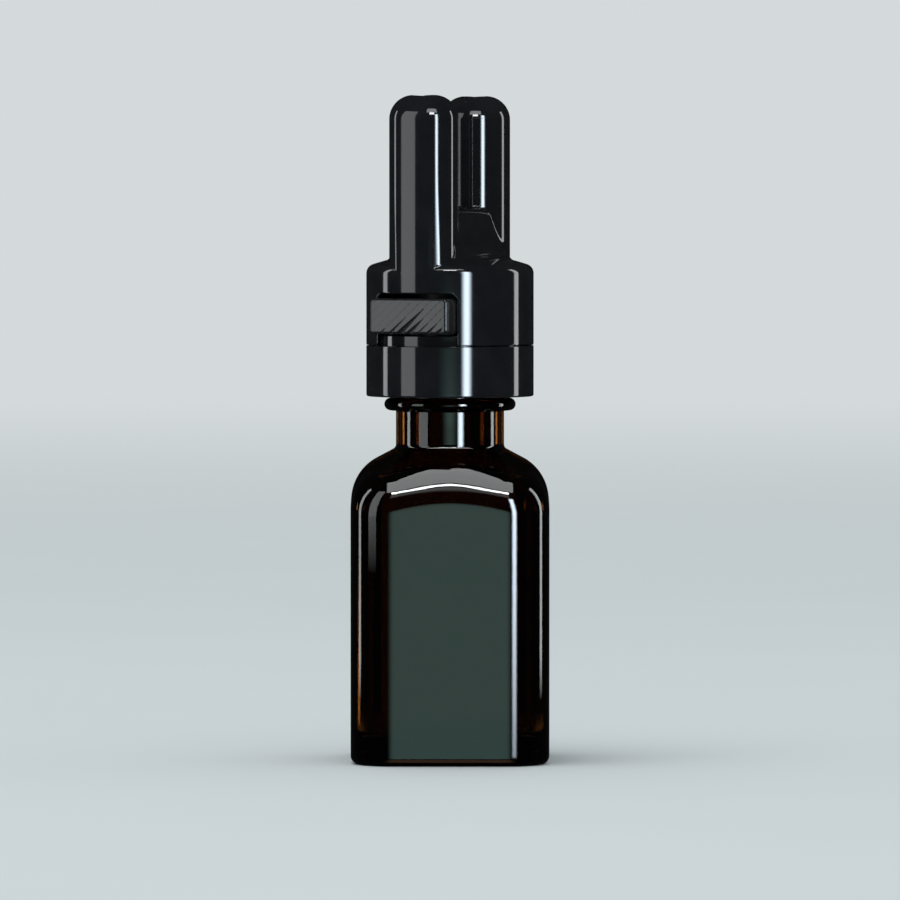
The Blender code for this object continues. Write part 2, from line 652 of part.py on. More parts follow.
def shell_solid_profile():
    """The outside of the shell's drum: a low crown that runs into a rounded top edge."""
    edge = SHELL_EDGE_RADIUS
    small = COLLAR_EDGE_RADIUS
    edge_centre = SHELL_TOP - edge
    lean = math.asin((CAP_RADIUS - edge) / (SHELL_CROWN_RADIUS - edge))
    crown_centre = edge_centre - (SHELL_CROWN_RADIUS - edge) * math.cos(lean)
    up = math.pi / 2
    crown = arc_points(0, crown_centre, SHELL_CROWN_RADIUS, up, up - lean)
    profile = [(0, crown[0][1])] + crown[1:-1]
    profile += arc_points(CAP_RADIUS - edge, edge_centre, edge, up - lean, 0)
    profile += arc_points(CAP_RADIUS - small, SHELL_BOTTOM + small, small, 0, -math.pi / 2, steps=2)
    profile.append((0, SHELL_BOTTOM))
    return profile


def shell_hollow_profile():
    """The inside of the drum: a rebate for the spigot, a snap bead, then the straight wall."""
    rebate = SPIGOT_RADIUS + GAP
    bead = SHELL_INNER_RADIUS - SNAP_BEAD_DEPTH
    bead_top = DISC_BOTTOM - GAP
    return [(0, CAVITY_TOP), (SHELL_INNER_RADIUS, CAVITY_TOP), (SHELL_INNER_RADIUS, DISC_BOTTOM),
            (bead, bead_top), (bead, bead_top - SNAP_BEAD_HEIGHT),
            (SHELL_INNER_RADIUS, bead_top - 2 * SNAP_BEAD_HEIGHT),
            (SHELL_INNER_RADIUS, BUTTON_BOTTOM), (rebate, BUTTON_BOTTOM),
            (rebate, SHELL_BOTTOM - CUT_OVERRUN), (0, SHELL_BOTTOM - CUT_OVERRUN)]


def window_mesh():
    """The window for the button: open at its foot, with rounded upper corners."""
    low = (-WINDOW_HALF_WIDTH, -BUTTON_FACE_REACH - CUT_OVERRUN, SHELL_BOTTOM - CUT_OVERRUN)
    high = (WINDOW_HALF_WIDTH, -BUTTON_REAR_REACH, WINDOW_TOP)

    def is_upper_corner(start, end):
        return min(start.z, end.z) > BUTTON_TOP and abs(start.x - end.x) < GAP

    return rounded_box_mesh("window", low, high, WINDOW_CORNER_RADIUS, is_upper_corner, steps=4)


def make_head_shell(parts, guides, head):
    """The moulded head: drum, two nose towers and the hump between them, all hollow."""
    half_turn = (0, 0, math.pi)
    upright = (math.pi / 2, 0, 0)
    roof = (0, 0, SHELL_TOP)
    shell = turned("head_shell", shell_solid_profile(), parts, ROUND_STEPS, closed=False,
                   parent=head)
    hollow = turned("shell_hollow", shell_hollow_profile(), guides, ROUND_STEPS, closed=False,
                    parent=head)

    def join(thing, mesh, location=(0, 0, 0), rotation=(0, 0, 0)):
        guide = add_object(mesh.name, mesh, guides, head, location, rotation)
        add_boolean(thing, finish_cutter(guide), "UNION")

    sunk = SHELL_TOP - SHELL_EDGE_RADIUS
    join(shell, tower_mesh("front_tower", 0, sunk, TOWER_TOP))
    join(shell, tower_mesh("rear_tower", 0, sunk, TOWER_TOP), rotation=half_turn)
    join(shell, saddle_mesh(), roof, upright)

    low = CAVITY_TOP - CUT_OVERRUN
    inner_top = TOWER_TOP - TOWER_TOP_WALL
    join(hollow, tower_mesh("front_hollow", SHELL_WALL, low, inner_top))
    join(hollow, tower_mesh("rear_hollow", SHELL_WALL, low, inner_top), rotation=half_turn)
    join(hollow, saddle_hollow_mesh(), roof, upright)
    for side, name in ((-1, "front_outlet"), (1, "rear_outlet")):
        hole = cylinder_mesh(name, OUTLET_RADIUS, inner_top - CUT_OVERRUN, TOWER_TOP + CUT_OVERRUN)
        join(hollow, hole, (0, side * TUBE_CENTRE, 0))

    add_boolean(shell, finish_cutter(hollow), "DIFFERENCE")
    window = add_object("window", window_mesh(), guides, head)
    add_boolean(shell, finish_cutter(window), "DIFFERENCE")
    return finish_part(shell, make_material("black_shell", (0.012, 0.013, 0.015), 0.06))


# Button and valve

def knurl_mesh():
    """Slanting V grooves for the button's face, as one set of square bars set on edge."""
    shape = bmesh.new()
    reach = BUTTON_HALF_WIDTH + BUTTON_HEIGHT / 2
    count = int(reach / GROOVE_PITCH)
    length = BUTTON_HEIGHT / math.sin(GROOVE_ANGLE) + 2 * CUT_OVERRUN
    cosine, sine = math.cos(GROOVE_ANGLE), math.sin(GROOVE_ANGLE)
    for step in range(-count, count + 1):
        for vertex in bmesh.ops.create_cube(shape, size=1)["verts"]:
            along = vertex.co.x * length
            across = (vertex.co.y - vertex.co.z) * GROOVE_DEPTH
            vertex.co.y = (vertex.co.y + vertex.co.z) * GROOVE_DEPTH
            vertex.co.x = step * GROOVE_PITCH + along * cosine - across * sine
            vertex.co.z = along * sine + across * cosine
    bmesh.ops.recalc_face_normals(shape, faces=shape.faces)
    mesh = bpy.data.meshes.new("knurl")
    shape.to_mesh(mesh)
    shape.free()
    return mesh


def button_block_mesh():
    """The button's outside: rounded ends, then a softened front edge."""
    half = BUTTON_HEIGHT / 2
    low = (-BUTTON_HALF_WIDTH, -BUTTON_FACE_REACH, -half)
    high = (BUTTON_HALF_WIDTH, -BUTTON_REAR_REACH, half)

    def runs_back(start, end):
        return abs(start.y - end.y) > BUTTON_FACE_THICKNESS

    mesh = rounded_box_mesh("push_button", low, high, BUTTON_CORNER_RADIUS, runs_back, steps=3)
    shape = bmesh.new()
    shape.from_mesh(mesh)
    front = [edge for edge in shape.edges
             if max(vertex.co.y for vertex in edge.verts) < -BUTTON_INNER_REACH]
    bmesh.ops.bevel(shape, geom=front, offset=BUTTON_EDGE_RADIUS, segments=2, profile=0.5, affect="EDGES")
    shape.to_mesh(mesh)
    shape.free()
    return mesh


def make_push_button(parts, guides, head):
    """A hollow push button with ears behind the window and a socket for the spool's stem."""
    level = (0, 0, VALVE_HEIGHT)
    button = add_object("push_button", button_block_mesh(), parts, head, level)

    def shape(mesh, operation, rotation=(0, 0, 0), location=level):
        guide = add_object(mesh.name, mesh, guides, head, location, rotation)
        add_boolean(button, finish_cutter(guide), operation)

    half = BUTTON_HEIGHT / 2
    inner_half = half - BUTTON_WALL
    inner_width = BUTTON_HALF_WIDTH - BUTTON_WALL
    rear = -BUTTON_REAR_REACH + CUT_OVERRUN
    shape(box_mesh("button_hollow", (-inner_width, -BUTTON_INNER_REACH, -inner_half),
                   (inner_width, rear, inner_half)), "DIFFERENCE")
    shape(box_mesh("button_throat", (-inner_width, -BUTTON_SKIRT_REACH, -half - CUT_OVERRUN),
                   (inner_width, rear, half + CUT_OVERRUN)), "DIFFERENCE")
    for side, name in ((-1, "left_ear"), (1, "right_ear")):
        near = side * (BUTTON_HALF_WIDTH - BUTTON_WALL / 2)
        far = side * EAR_HALF_WIDTH
        shape(box_mesh(name, (min(near, far), -EAR_FRONT_REACH, -inner_half),
                       (max(near, far), -BUTTON_REAR_REACH, inner_half)), "UNION")
    forward = (math.pi / 2, 0, 0)
    boss = cylinder_mesh("button_boss", SOCKET_RADIUS + SOCKET_WALL, SOCKET_REACH,
                         BUTTON_INNER_REACH + BUTTON_FACE_THICKNESS / 2)
    shape(boss, "UNION", forward)
    shape(cylinder_mesh("button_socket", SOCKET_RADIUS, SOCKET_REACH - CUT_OVERRUN, STEM_REACH + GAP),
          "DIFFERENCE", forward)
    shape(knurl_mesh(), "DIFFERENCE", location=(0, -BUTTON_FACE_REACH, VALVE_HEIGHT))
    return finish_part(button, make_material("black_button", (0.02, 0.02, 0.022), 0.2))


def spool_land(middle):
    """One land of the spool with its seal groove, listed from the front to the rear."""
    groove = SEAL_SECTION_RADIUS + SEAL_GAP
    return [(SPOOL_RADIUS, middle + LAND_HALF_LENGTH), (SPOOL_RADIUS, middle + groove),
            (SPOOL_GROOVE_RADIUS, middle + groove), (SPOOL_GROOVE_RADIUS, middle - groove),
            (SPOOL_RADIUS, middle - groove), (SPOOL_RADIUS, middle - LAND_HALF_LENGTH)]


def make_valve_spool(parts, head):
    """The sliding spool: stem, three lands with grooves, and a seat for the spring."""
    profile = [(0, STEM_REACH), (SPOOL_STEM_RADIUS, STEM_REACH), (SPOOL_STEM_RADIUS, LAND_REACH)]
    for middle in (SEAL_SPACING, 0, -SEAL_SPACING):
        land = spool_land(middle)
        if middle < SEAL_SPACING:
            profile.append((SPOOL_NECK_RADIUS, land[0][1]))
        profile += land
        if middle > -SEAL_SPACING:
            profile.append((SPOOL_NECK_RADIUS, land[-1][1]))
    tail = -LAND_REACH - SPRING_SEAT_LENGTH
    profile += [(SPRING_SEAT_RADIUS, -LAND_REACH), (SPRING_SEAT_RADIUS, tail), (0, tail)]
    spool = turned("valve_spool", profile, parts, SMALL_STEPS, closed=False, parent=head,
                   location=(0, 0, VALVE_HEIGHT), rotation=(math.pi / 2, 0, 0))
    return finish_part(spool, make_material("spool_polymer", (0.75, 0.76, 0.74), 0.35))


def make_ring_seal(name, inner_radius, parts, head, location, rotation=(0, 0, 0)):
    """A rubber ring of round section."""
    middle = inner_radius + SEAL_SECTION_RADIUS
    section = arc_points(middle, 0, SEAL_SECTION_RADIUS, math.pi / 2, -3 * math.pi / 2, steps=6)[:-1]
    ring = turned(name, section, parts, SMALL_STEPS, parent=head, location=location, rotation=rotation)
    return finish_part(ring, make_material(name + "_rubber", (0.02, 0.02, 0.02), 0.6))


def make_spool_seals(parts, head):
    for middle, name in ((SEAL_SPACING, "front_spool_seal"), (0, "middle_spool_seal"),
                         (-SEAL_SPACING, "rear_spool_seal")):
        make_ring_seal(name, SPOOL_GROOVE_RADIUS + SEAL_GAP, parts, head, (0, -middle, VALVE_HEIGHT),
                       (math.pi / 2, 0, 0))


def make_return_spring(parts, head):
    """A compression spring between the spool's last land and the end plug."""
    front = -LAND_REACH - GAP - SPRING_WIRE_RADIUS
    rear = -BOSS_REAR_REACH + PLUG_LENGTH + SPRING_WIRE_RADIUS
    count = round(SPRING_TURNS * SPRING_STEPS)
    curve = bpy.data.curves.new("return_spring", "CURVE")
    curve.dimensions = "3D"
    curve.bevel_depth = SPRING_WIRE_RADIUS
    curve.bevel_resolution = 1
    curve.use_fill_caps = True
    spline = curve.splines.new("POLY")
    spline.points.add(count)
    for step, point in enumerate(spline.points):
        angle = 2 * math.pi * SPRING_TURNS * step / count
        along = rear + (front - rear) * step / count
        point.co = (SPRING_MEAN_RADIUS * math.cos(angle), SPRING_MEAN_RADIUS * math.sin(angle), along, 1)
    spring = bpy.data.objects.new("return_spring", curve)
    parts.objects.link(spring)
    spring.parent = head
    spring.location = (0, 0, VALVE_HEIGHT)
    spring.rotation_euler = (math.pi / 2, 0, 0)
    curve.materials.append(make_material("spring_steel", (0.6, 0.6, 0.62), 0.25, metallic=1.0))
    return spring


def make_spring_plug(parts, head):
    """The end plug that closes the valve bore behind the spring."""
    flange_rear = -PLUG_REAR_REACH
    flange_front = flange_rear + PLUG_FLANGE_THICKNESS
    face = flange_front + PLUG_LENGTH
    seat = face + SPRING_SEAT_LENGTH
    profile = [(0, seat), (SPRING_SEAT_RADIUS, seat), (SPRING_SEAT_RADIUS, face), (SPOOL_RADIUS, face),
               (SPOOL_RADIUS, flange_front), (PLUG_FLANGE_RADIUS, flange_front),
               (PLUG_FLANGE_RADIUS, flange_rear), (0, flange_rear)]
    plug = turned("spring_plug", profile, parts, SMALL_STEPS, closed=False, parent=head,
                  location=(0, 0, VALVE_HEIGHT), rotation=(math.pi / 2, 0, 0))
    return finish_part(plug, make_material("plug_polymer", (0.5, 0.51, 0.5), 0.4))


# Vapour path through the head

def make_manifold(parts, guides, head):
    """The cross piece that splits the vapour between the two tubes."""
    cup_top = MANIFOLD_CUP_HEIGHT
    cup_radius = TUBE_SOCKET_RADIUS + MANIFOLD_CUP_WALL
    bar = box_mesh("vapour_manifold", (-MANIFOLD_HALF_WIDTH, -TUBE_CENTRE, 0),
                   (MANIFOLD_HALF_WIDTH, TUBE_CENTRE, MANIFOLD_HEIGHT))
    manifold = add_object("vapour_manifold", bar, parts, head, (0, 0, MANIFOLD_BOTTOM))

    def shape(mesh, operation, place, rotation=(0, 0, 0)):
        location = (0, place, MANIFOLD_BOTTOM)
        guide = add_object(mesh.name, mesh, guides, head, location, rotation)
        add_boolean(manifold, finish_cutter(guide), operation)

    spigot_end = GAP - OUTLET_SOCKET_DEPTH - GAP
    channel_height = MANIFOLD_HEIGHT / 2
    shape(cylinder_mesh("manifold_spigot", SPIGOT_TUBE_RADIUS, spigot_end, channel_height), "UNION",
          -OUTLET_FORWARD)
    for side, name in ((-1, "front_cup"), (1, "rear_cup")):
        shape(cylinder_mesh(name, cup_radius, 0, cup_top), "UNION", side * TUBE_CENTRE)
    shape(cylinder_mesh("spigot_bore", SPIGOT_BORE_RADIUS, spigot_end - CUT_OVERRUN, channel_height),
          "DIFFERENCE", -OUTLET_FORWARD)
    for side, name in ((-1, "front_cup_socket"), (1, "rear_cup_socket")):
        place = side * TUBE_CENTRE
        socket_floor = cup_top - TUBE_SOCKET_DEPTH
        socket_top = cup_top + CUT_OVERRUN
        shape(cylinder_mesh(name, TUBE_SOCKET_RADIUS, socket_floor, socket_top), "DIFFERENCE", place)
        drop_top = socket_floor + TUBE_SOCKET_DEPTH / 2
        shape(cylinder_mesh(name + "_drop", TUBE_BORE_RADIUS, channel_height, drop_top), "DIFFERENCE",
              place)
    channel = cylinder_mesh("manifold_channel", MANIFOLD_CHANNEL_RADIUS, -TUBE_CENTRE, TUBE_CENTRE)
    for vertex in channel.vertices:
        vertex.co.y += channel_height
    shape(channel, "DIFFERENCE", 0, (math.pi / 2, 0, 0))
    return finish_part(manifold, make_material("manifold_polymer", (0.55, 0.56, 0.55), 0.4))


def make_vapour_tube(name, side, parts, head):
    profile = [(TUBE_BORE_RADIUS, TUBE_TOP), (TUBE_RADIUS, TUBE_TOP), (TUBE_RADIUS, TUBE_BOTTOM),
               (TUBE_BORE_RADIUS, TUBE_BOTTOM)]
    local = [(radius, height - TUBE_BOTTOM) for radius, height in profile]
    tube = turned(name, local, parts, SMALL_STEPS, parent=head,
                  location=(0, side * TUBE_CENTRE, TUBE_BOTTOM))
    return finish_part(tube, make_material(name + "_polymer", (0.72, 0.74, 0.74), 0.3))


def make_outlet_sleeve(name, side, parts, head):
    """A soft sleeve that seals a tube's end to the outlet in its tower."""
    grip = TUBE_SOCKET_RADIUS
    outside = grip + SLEEVE_WALL
    shoulder = SLEEVE_TOP - SLEEVE_CONE_HEIGHT
    bottom = TUBE_TOP - SLEEVE_GRIP
    nipple_top = TOWER_TOP - NIPPLE_SET_BACK
    profile = [(NIPPLE_RADIUS - NIPPLE_WALL, nipple_top), (NIPPLE_RADIUS, nipple_top),
               (NIPPLE_RADIUS, SLEEVE_TOP), (outside, shoulder), (outside, bottom), (grip, bottom),
               (grip, TUBE_TOP + GAP), (NIPPLE_RADIUS - NIPPLE_WALL, TUBE_TOP + GAP)]
    local = [(radius, height - bottom) for radius, height in profile]
    sleeve = turned(name, local, parts, SMALL_STEPS, parent=head,
                    location=(0, side * TUBE_CENTRE, bottom))
    return finish_part(sleeve, make_material(name + "_rubber", (0.03, 0.03, 0.03), 0.5))


def main():
    clear_scene()
    parts = make_collection("sniffer_bottle")
    guides = make_collection("guides")
    head = bpy.data.objects.new("head_axis", None)
    parts.objects.link(head)
    head.rotation_euler = (0, 0, HEAD_YAW)

    make_glass_bottle(parts, guides)
    make_screw_collar(parts, guides)
    make_neck_gasket(parts, head)
    make_valve_body(parts, guides, head)
    make_head_shell(parts, guides, head)
    make_push_button(parts, guides, head)
    make_valve_spool(parts, head)
    make_spool_seals(parts, head)
    make_return_spring(parts, head)
    make_spring_plug(parts, head)
    make_manifold(parts, guides, head)
    seal_height = MANIFOLD_BOTTOM - OUTLET_SOCKET_DEPTH / 2
    make_ring_seal("manifold_seal", SPIGOT_TUBE_RADIUS + SEAL_GAP, parts, head,
                   (0, -OUTLET_FORWARD, seal_height))
    make_vapour_tube("front_vapour_tube", -1, parts, head)
    make_vapour_tube("rear_vapour_tube", 1, parts, head)
    make_outlet_sleeve("front_outlet_sleeve", -1, parts, head)
    make_outlet_sleeve("rear_outlet_sleeve", 1, parts, head)


main()
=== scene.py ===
import math

import bpy
import numpy as np
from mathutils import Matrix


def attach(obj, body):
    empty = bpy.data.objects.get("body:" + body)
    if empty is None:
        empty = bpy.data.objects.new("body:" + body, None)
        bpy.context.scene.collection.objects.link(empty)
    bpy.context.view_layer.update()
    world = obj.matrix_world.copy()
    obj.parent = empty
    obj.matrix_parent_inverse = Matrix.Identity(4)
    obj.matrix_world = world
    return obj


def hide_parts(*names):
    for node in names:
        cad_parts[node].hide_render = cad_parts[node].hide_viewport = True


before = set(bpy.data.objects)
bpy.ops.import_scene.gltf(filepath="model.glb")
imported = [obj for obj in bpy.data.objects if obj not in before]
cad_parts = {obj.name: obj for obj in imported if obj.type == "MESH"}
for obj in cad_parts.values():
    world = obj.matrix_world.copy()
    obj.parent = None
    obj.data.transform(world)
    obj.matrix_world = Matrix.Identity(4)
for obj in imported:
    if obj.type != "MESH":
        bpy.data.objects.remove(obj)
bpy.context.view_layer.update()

# The part's sizes are in millimetres, its angles in radians. They repeat the solids' sizes.
MM = 0.001
HEAD_YAW = math.radians(-27.7)

BODY_WIDTH = 28.8
BODY_CORNER = 6.3
BODY_WALL = 1.8
BASE_THICKNESS = 3.0
HEEL_RADIUS = 1.2
STANDING_RING = 3.0
PUSH_UP = 0.8
PUSH_UP_RAMP = 1.5
INNER_HEEL = 2.5
SHOULDER_ANGLE = math.radians(28)
SHOULDER_RADIUS = 7.0
NECK_FOOT = 45.65
NECK_RADIUS = 7.87
NECK_BORE = 5.5
NECK_FILLET = 0.8
BEAD_HEIGHT = 51.95
BEAD_STAND_OUT = 1.7
BEAD_RADIUS = 0.9
BEAD_TOP = 52.85
MOUTH = 59.0
LIP_RADIUS = 0.4
THREAD_PITCH = 3.0
THREAD_DEPTH = 1.0
THREAD_ROOT = 1.4
THREAD_CREST = 0.6
THREAD_TURNS = 1.2
THREAD_RISE = 1.35
THREAD_FADE = 0.12
THREAD_SOFT = 0.1
THREAD_RADIAL_GAP = 0.3
THREAD_AXIAL_GAP = 0.25

COLLAR_BOTTOM = 53.1
COLLAR_TOP = 60.5
SEAM_EDGE = 0.1
CAP_RADIUS = 12.19
CAP_EDGE = 0.3
SPIGOT_RADIUS = 11.37
DECK_BOTTOM = 61.15
DECK_TOP = 62.05
DECK_BORE = 6.5
COLLAR_BORE = 9.17
COLLAR_THREAD_RISE = 0.8

SHELL_BOTTOM = 60.6
SHELL_EDGE_CENTRE = 71.0
SHELL_EDGE = 1.4
SHELL_CROWN = 36.0
CAVITY_TOP = 71.0
SHELL_INNER = 10.99
REBATE_RADIUS = 11.62
REBATE_TOP = 62.3
TOWER_TOP = 96.85
TOWER_HALF = 5.1
TOWER_EDGE = 3.5
TOWER_RADIUS = 12.19
TOWER_CENTRE = 8.268
TOWER_CORNER = ((TOWER_RADIUS ** 2 - TOWER_HALF ** 2 - TOWER_CENTRE ** 2)
                / (2 * (TOWER_RADIUS - TOWER_HALF)))
SHELL_WALL = 1.2
TOWER_INNER_TOP = 95.55
SADDLE_TOP = 80.6
SADDLE_HALF = 3.75
SADDLE_FOOT = 74.4
SADDLE_EDGE = 1.4
FACET_TURN = math.radians(35.2)
FACET_DEPTH = 0.06
FACET_BLEND = 0.1
FACET_TOP = 90.0
OUTLET_RADIUS = 1.75
OUTLET_CENTRE = 7.669
WINDOW_HALF = 6.5
WINDOW_TOP = 68.1
WINDOW_CORNER = 1.1
WINDOW_DEPTH = 7.2

BUTTON_HALF = 6.35
BUTTON_MIDDLE = 64.875
BUTTON_HALF_HEIGHT = 2.575
BUTTON_FACE = 13.1
BUTTON_INNER = 11.9
BUTTON_SKIRT = 9.0
BUTTON_REAR = 7.209
BUTTON_CORNER = 0.7
BUTTON_EDGE = 0.45
BUTTON_WALL = 0.8
EAR_HALF = 7.25
EAR_FRONT = 8.009

SLEEVE_TOP = 95.3
NIPPLE_TOP = 96.65
NIPPLE_RADIUS = 1.5
NIPPLE_BORE = 1.1
NIPPLE_LIP = 0.2
SLEEVE_OUTSIDE = 2.6
SLEEVE_GRIP = 2.15
SLEEVE_BOTTOM = 92.55
SLEEVE_CONE = 1.2
SLEEVE_LIP = 0.2
TUBE_TOP = 93.95
TUBE_GAP = 0.25


# Meshes

def yawed(points):
    """Points of the head's own frame, turned to where the head stands on the bottle."""
    cosine, sine = math.cos(HEAD_YAW), math.sin(HEAD_YAW)
    x, y, z = points.T
    return np.stack((x * cosine - y * sine, x * sine + y * cosine, z), axis=1)


def face_normals(points, faces):
    """Vertex normals from quads, where a large face counts for more than a small one."""
    corners = points[faces]
    across = np.cross(corners[:, 2] - corners[:, 0], corners[:, 3] - corners[:, 1])
    normals = np.zeros_like(points)
    for k in range(4):
        np.add.at(normals, faces[:, k], across)
    return normals / np.maximum(np.linalg.norm(normals, axis=1, keepdims=True), 1e-12)


def make_piece(name, points, faces, normals, body, slot_name, material, *stands_for):
    """A visible piece from points in millimetres, riding on a body."""
    mesh = bpy.data.meshes.new(name)
    mesh.from_pydata((points * MM).tolist(), [], faces)
    mesh.shade_smooth()
    mesh.normals_split_custom_set_from_vertices(normals.tolist())
    mesh.materials.append(material)
    piece = bpy.data.objects.new(name, mesh)
    bpy.context.scene.collection.objects.link(piece)
    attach(piece, body)
    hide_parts(*stands_for)


def ring_faces(rows, columns):
    """Quads between rows of a closed loft, each row running once round."""
    row = np.arange(rows - 1)[:, None] * columns
    here = np.arange(columns)[None, :]
    after = (here + 1) % columns
    next_row = row + columns
    quads = np.stack((row + here, row + after, next_row + after, next_row + here), axis=-1)
    return quads.reshape(-1, 4)


def arc(centre_r, centre_z, radius, start, end, steps):
    """Points (r, z) on an arc, with angles in degrees."""
    turns = np.radians(np.linspace(start, end, steps + 1))
    return [(centre_r + radius * math.cos(t), centre_z + radius * math.sin(t)) for t in turns]


# Solids given as distances to their surface, below zero inside

SLOPE_STEP = 0.01
SETTLE_ROUNDS = 8
SETTLE_CELLS = 0.7
LEAST_STEEP = 0.3


def round_and(first, second, radius):
    """The common part of two solids, its edge rounded."""
    outside = np.hypot(np.maximum(first + radius, 0), np.maximum(second + radius, 0))
    return outside + np.minimum(np.maximum(first + radius, second + radius), 0) - radius


def round_or(first, second, radius):
    """Two solids joined, with a hollow fillet between them."""
    return -round_and(-first, -second, radius)


def smooth_step(low, high, value):
    """A soft rise from 0 to 1 between two values, or a soft fall where low is the larger."""
    share = np.clip((value - low) / (high - low), 0, 1)
    return share * share * (3 - 2 * share)


def field_slope(field, points):
    """Which way a field rises at each point, and how steeply."""
    slope = np.empty_like(points)
    for axis in range(3):
        step = np.zeros(3)
        step[axis] = SLOPE_STEP
        rise = field(*(points + step).T) - field(*(points - step).T)
        slope[:, axis] = rise / (2 * SLOPE_STEP)
    return slope


def field_mesh(field, low, high, cell):
    """Points, quads and normals of the surface where a field is zero.

    Each cell that the surface crosses gets one point, at the middle of its edges' crossings. The
    points then settle onto the surface along the field's slope.
    """
    axes = [np.arange(start, end + cell, cell) for start, end in zip(low, high)]
    values = field(*np.meshgrid(*axes, indexing="ij"))
    inside = values < 0
    size = values.shape
    crossings, quads = [], []
    for axis in range(3):
        following, last = (axis + 1) % 3, (axis + 2) % 3
        lower = tuple(slice(0, -1) if k == axis else slice(None) for k in range(3))
        upper = tuple(slice(1, None) if k == axis else slice(None) for k in range(3))
        at = np.argwhere(inside[lower] != inside[upper])
        beyond = at.copy()
        beyond[:, axis] += 1
        start, end = values[tuple(at.T)], values[tuple(beyond.T)]
        where = at.astype(float)
        where[:, axis] += start / (start - end)
        cells = []
        for back, down in ((1, 1), (0, 1), (0, 0), (1, 0)):
            owner = at.copy()
            owner[:, following] -= back
            owner[:, last] -= down
            cells.append(np.ravel_multi_index(owner.T, size))
        ring = np.stack(cells, axis=1)
        quads.append(np.where(start[:, None] < 0, ring, ring[:, ::-1]))
        crossings.append(np.repeat(where[:, None], 4, axis=1))
    quads = np.concatenate(quads)
    crossings = np.concatenate(crossings).reshape(-1, 3)
    index = np.unique(quads, return_inverse=True)[1].reshape(-1)
    count = np.bincount(index)
    points = np.stack([np.bincount(index, weights=crossings[:, k]) for k in range(3)], axis=1)
    points = points / count[:, None] * cell + np.array(low)
    start = points.copy()
    most = cell * SETTLE_CELLS
    for _ in range(SETTLE_ROUNDS):
        slope = field_slope(field, points)
        steep = np.maximum((slope ** 2).sum(axis=1), LEAST_STEEP)
        points = points - slope * (field(*points.T) / steep)[:, None]
        points = start + np.clip(points - start, -most, most)
    slope = field_slope(field, points)
    normals = slope / np.maximum(np.linalg.norm(slope, axis=1, keepdims=True), 1e-9)
    return points, index.reshape(-1, 4), normals


# Head shell

SADDLE_FLARE = 1.6
SADDLE_SIDE_SLOPE = 0.97
SADDLE_INNER_EDGE = 0.3
TOWER_FILLET = 0.3
TOWER_SADDLE_FILLET = 0.12
LEAST_FILLET = 1e-3
FILLET_FACING = (0.2, 0.8)
FILLET_INSET = 1.2
FILLET_HEIGHTS = (76, 74)
CAVITY_OVERLAP = 1.0
CAVITY_EDGE = 0.15
OUTLET_LIP = 0.12
WINDOW_LIP = 0.2
HEAD_MARGIN = 0.6
HEAD_CELL = 0.25


def tower_section(u, v, z):
    """Level section of both towers: flush with the drum, round inside, flatter corners below."""
    side, out = np.abs(u), np.abs(v)
    corner_centre = TOWER_HALF - TOWER_CORNER
    inner = np.hypot(side, out - TOWER_CENTRE) - TOWER_HALF
    corner = np.hypot(side - corner_centre, out - TOWER_CENTRE) - TOWER_CORNER
    flush = np.hypot(side, out) - TOWER_RADIUS
    on_arc = side * TOWER_CENTRE < corner_centre * out
    section = np.where(out < TOWER_CENTRE, inner, np.where(on_arc, flush, corner))
    sine, cosine = math.sin(FACET_TURN), math.cos(FACET_TURN)
    cut = (FACET_DEPTH + FACET_BLEND) * smooth_step(FACET_TOP, SHELL_EDGE_CENTRE, z) - FACET_BLEND
    tangent = corner_centre * sine + TOWER_CENTRE * cosine + TOWER_CORNER - cut
    facet = side * sine + out * cosine - tangent
    both = np.maximum(FACET_BLEND - np.abs(section - facet), 0)
    return np.maximum(section, facet) + both ** 2 / (4 * FACET_BLEND)


def drum_field(radius, z):
    """Outside of the drum, and how far its surface faces upward."""
    corner_r = CAP_RADIUS - SHELL_EDGE
    lean = math.asin(corner_r / (SHELL_CROWN - SHELL_EDGE))
    crown_centre = SHELL_EDGE_CENTRE - (SHELL_CROWN - SHELL_EDGE) * math.cos(lean)
    out, up = radius - corner_r, z - SHELL_EDGE_CENTRE
    to_corner = np.hypot(out, up)
    to_crown = np.hypot(radius, z - crown_centre)
    on_edge = (out > 0) & (up > 0) & (up < out / math.tan(lean))
    flat = np.maximum(radius - CAP_RADIUS, to_crown - SHELL_CROWN)
    drum = np.where(on_edge, to_corner - SHELL_EDGE, flat)
    facing = np.where(on_edge, up / np.maximum(to_corner, 1e-6),
                      np.where(to_crown - SHELL_CROWN > radius - CAP_RADIUS, 1.0, 0.0))
    return round_and(drum, SHELL_BOTTOM - z, SEAM_EDGE), facing


def saddle_field(u, v, z, inset):
    """The hump between the towers, with leaning sides. An inset gives its hollow."""
    drop = np.clip((SADDLE_TOP - z) / (SADDLE_TOP - SADDLE_FOOT), 0, 1)
    half = SADDLE_HALF + (TOWER_HALF - SADDLE_HALF) * drop
    side = (np.abs(u) - half + inset) * SADDLE_SIDE_SLOPE
    edge = SADDLE_EDGE if inset == 0 else SADDLE_INNER_EDGE
    section = round_and(side, z - SADDLE_TOP + inset, edge)
    return np.maximum(section, np.abs(v) - TOWER_CENTRE)


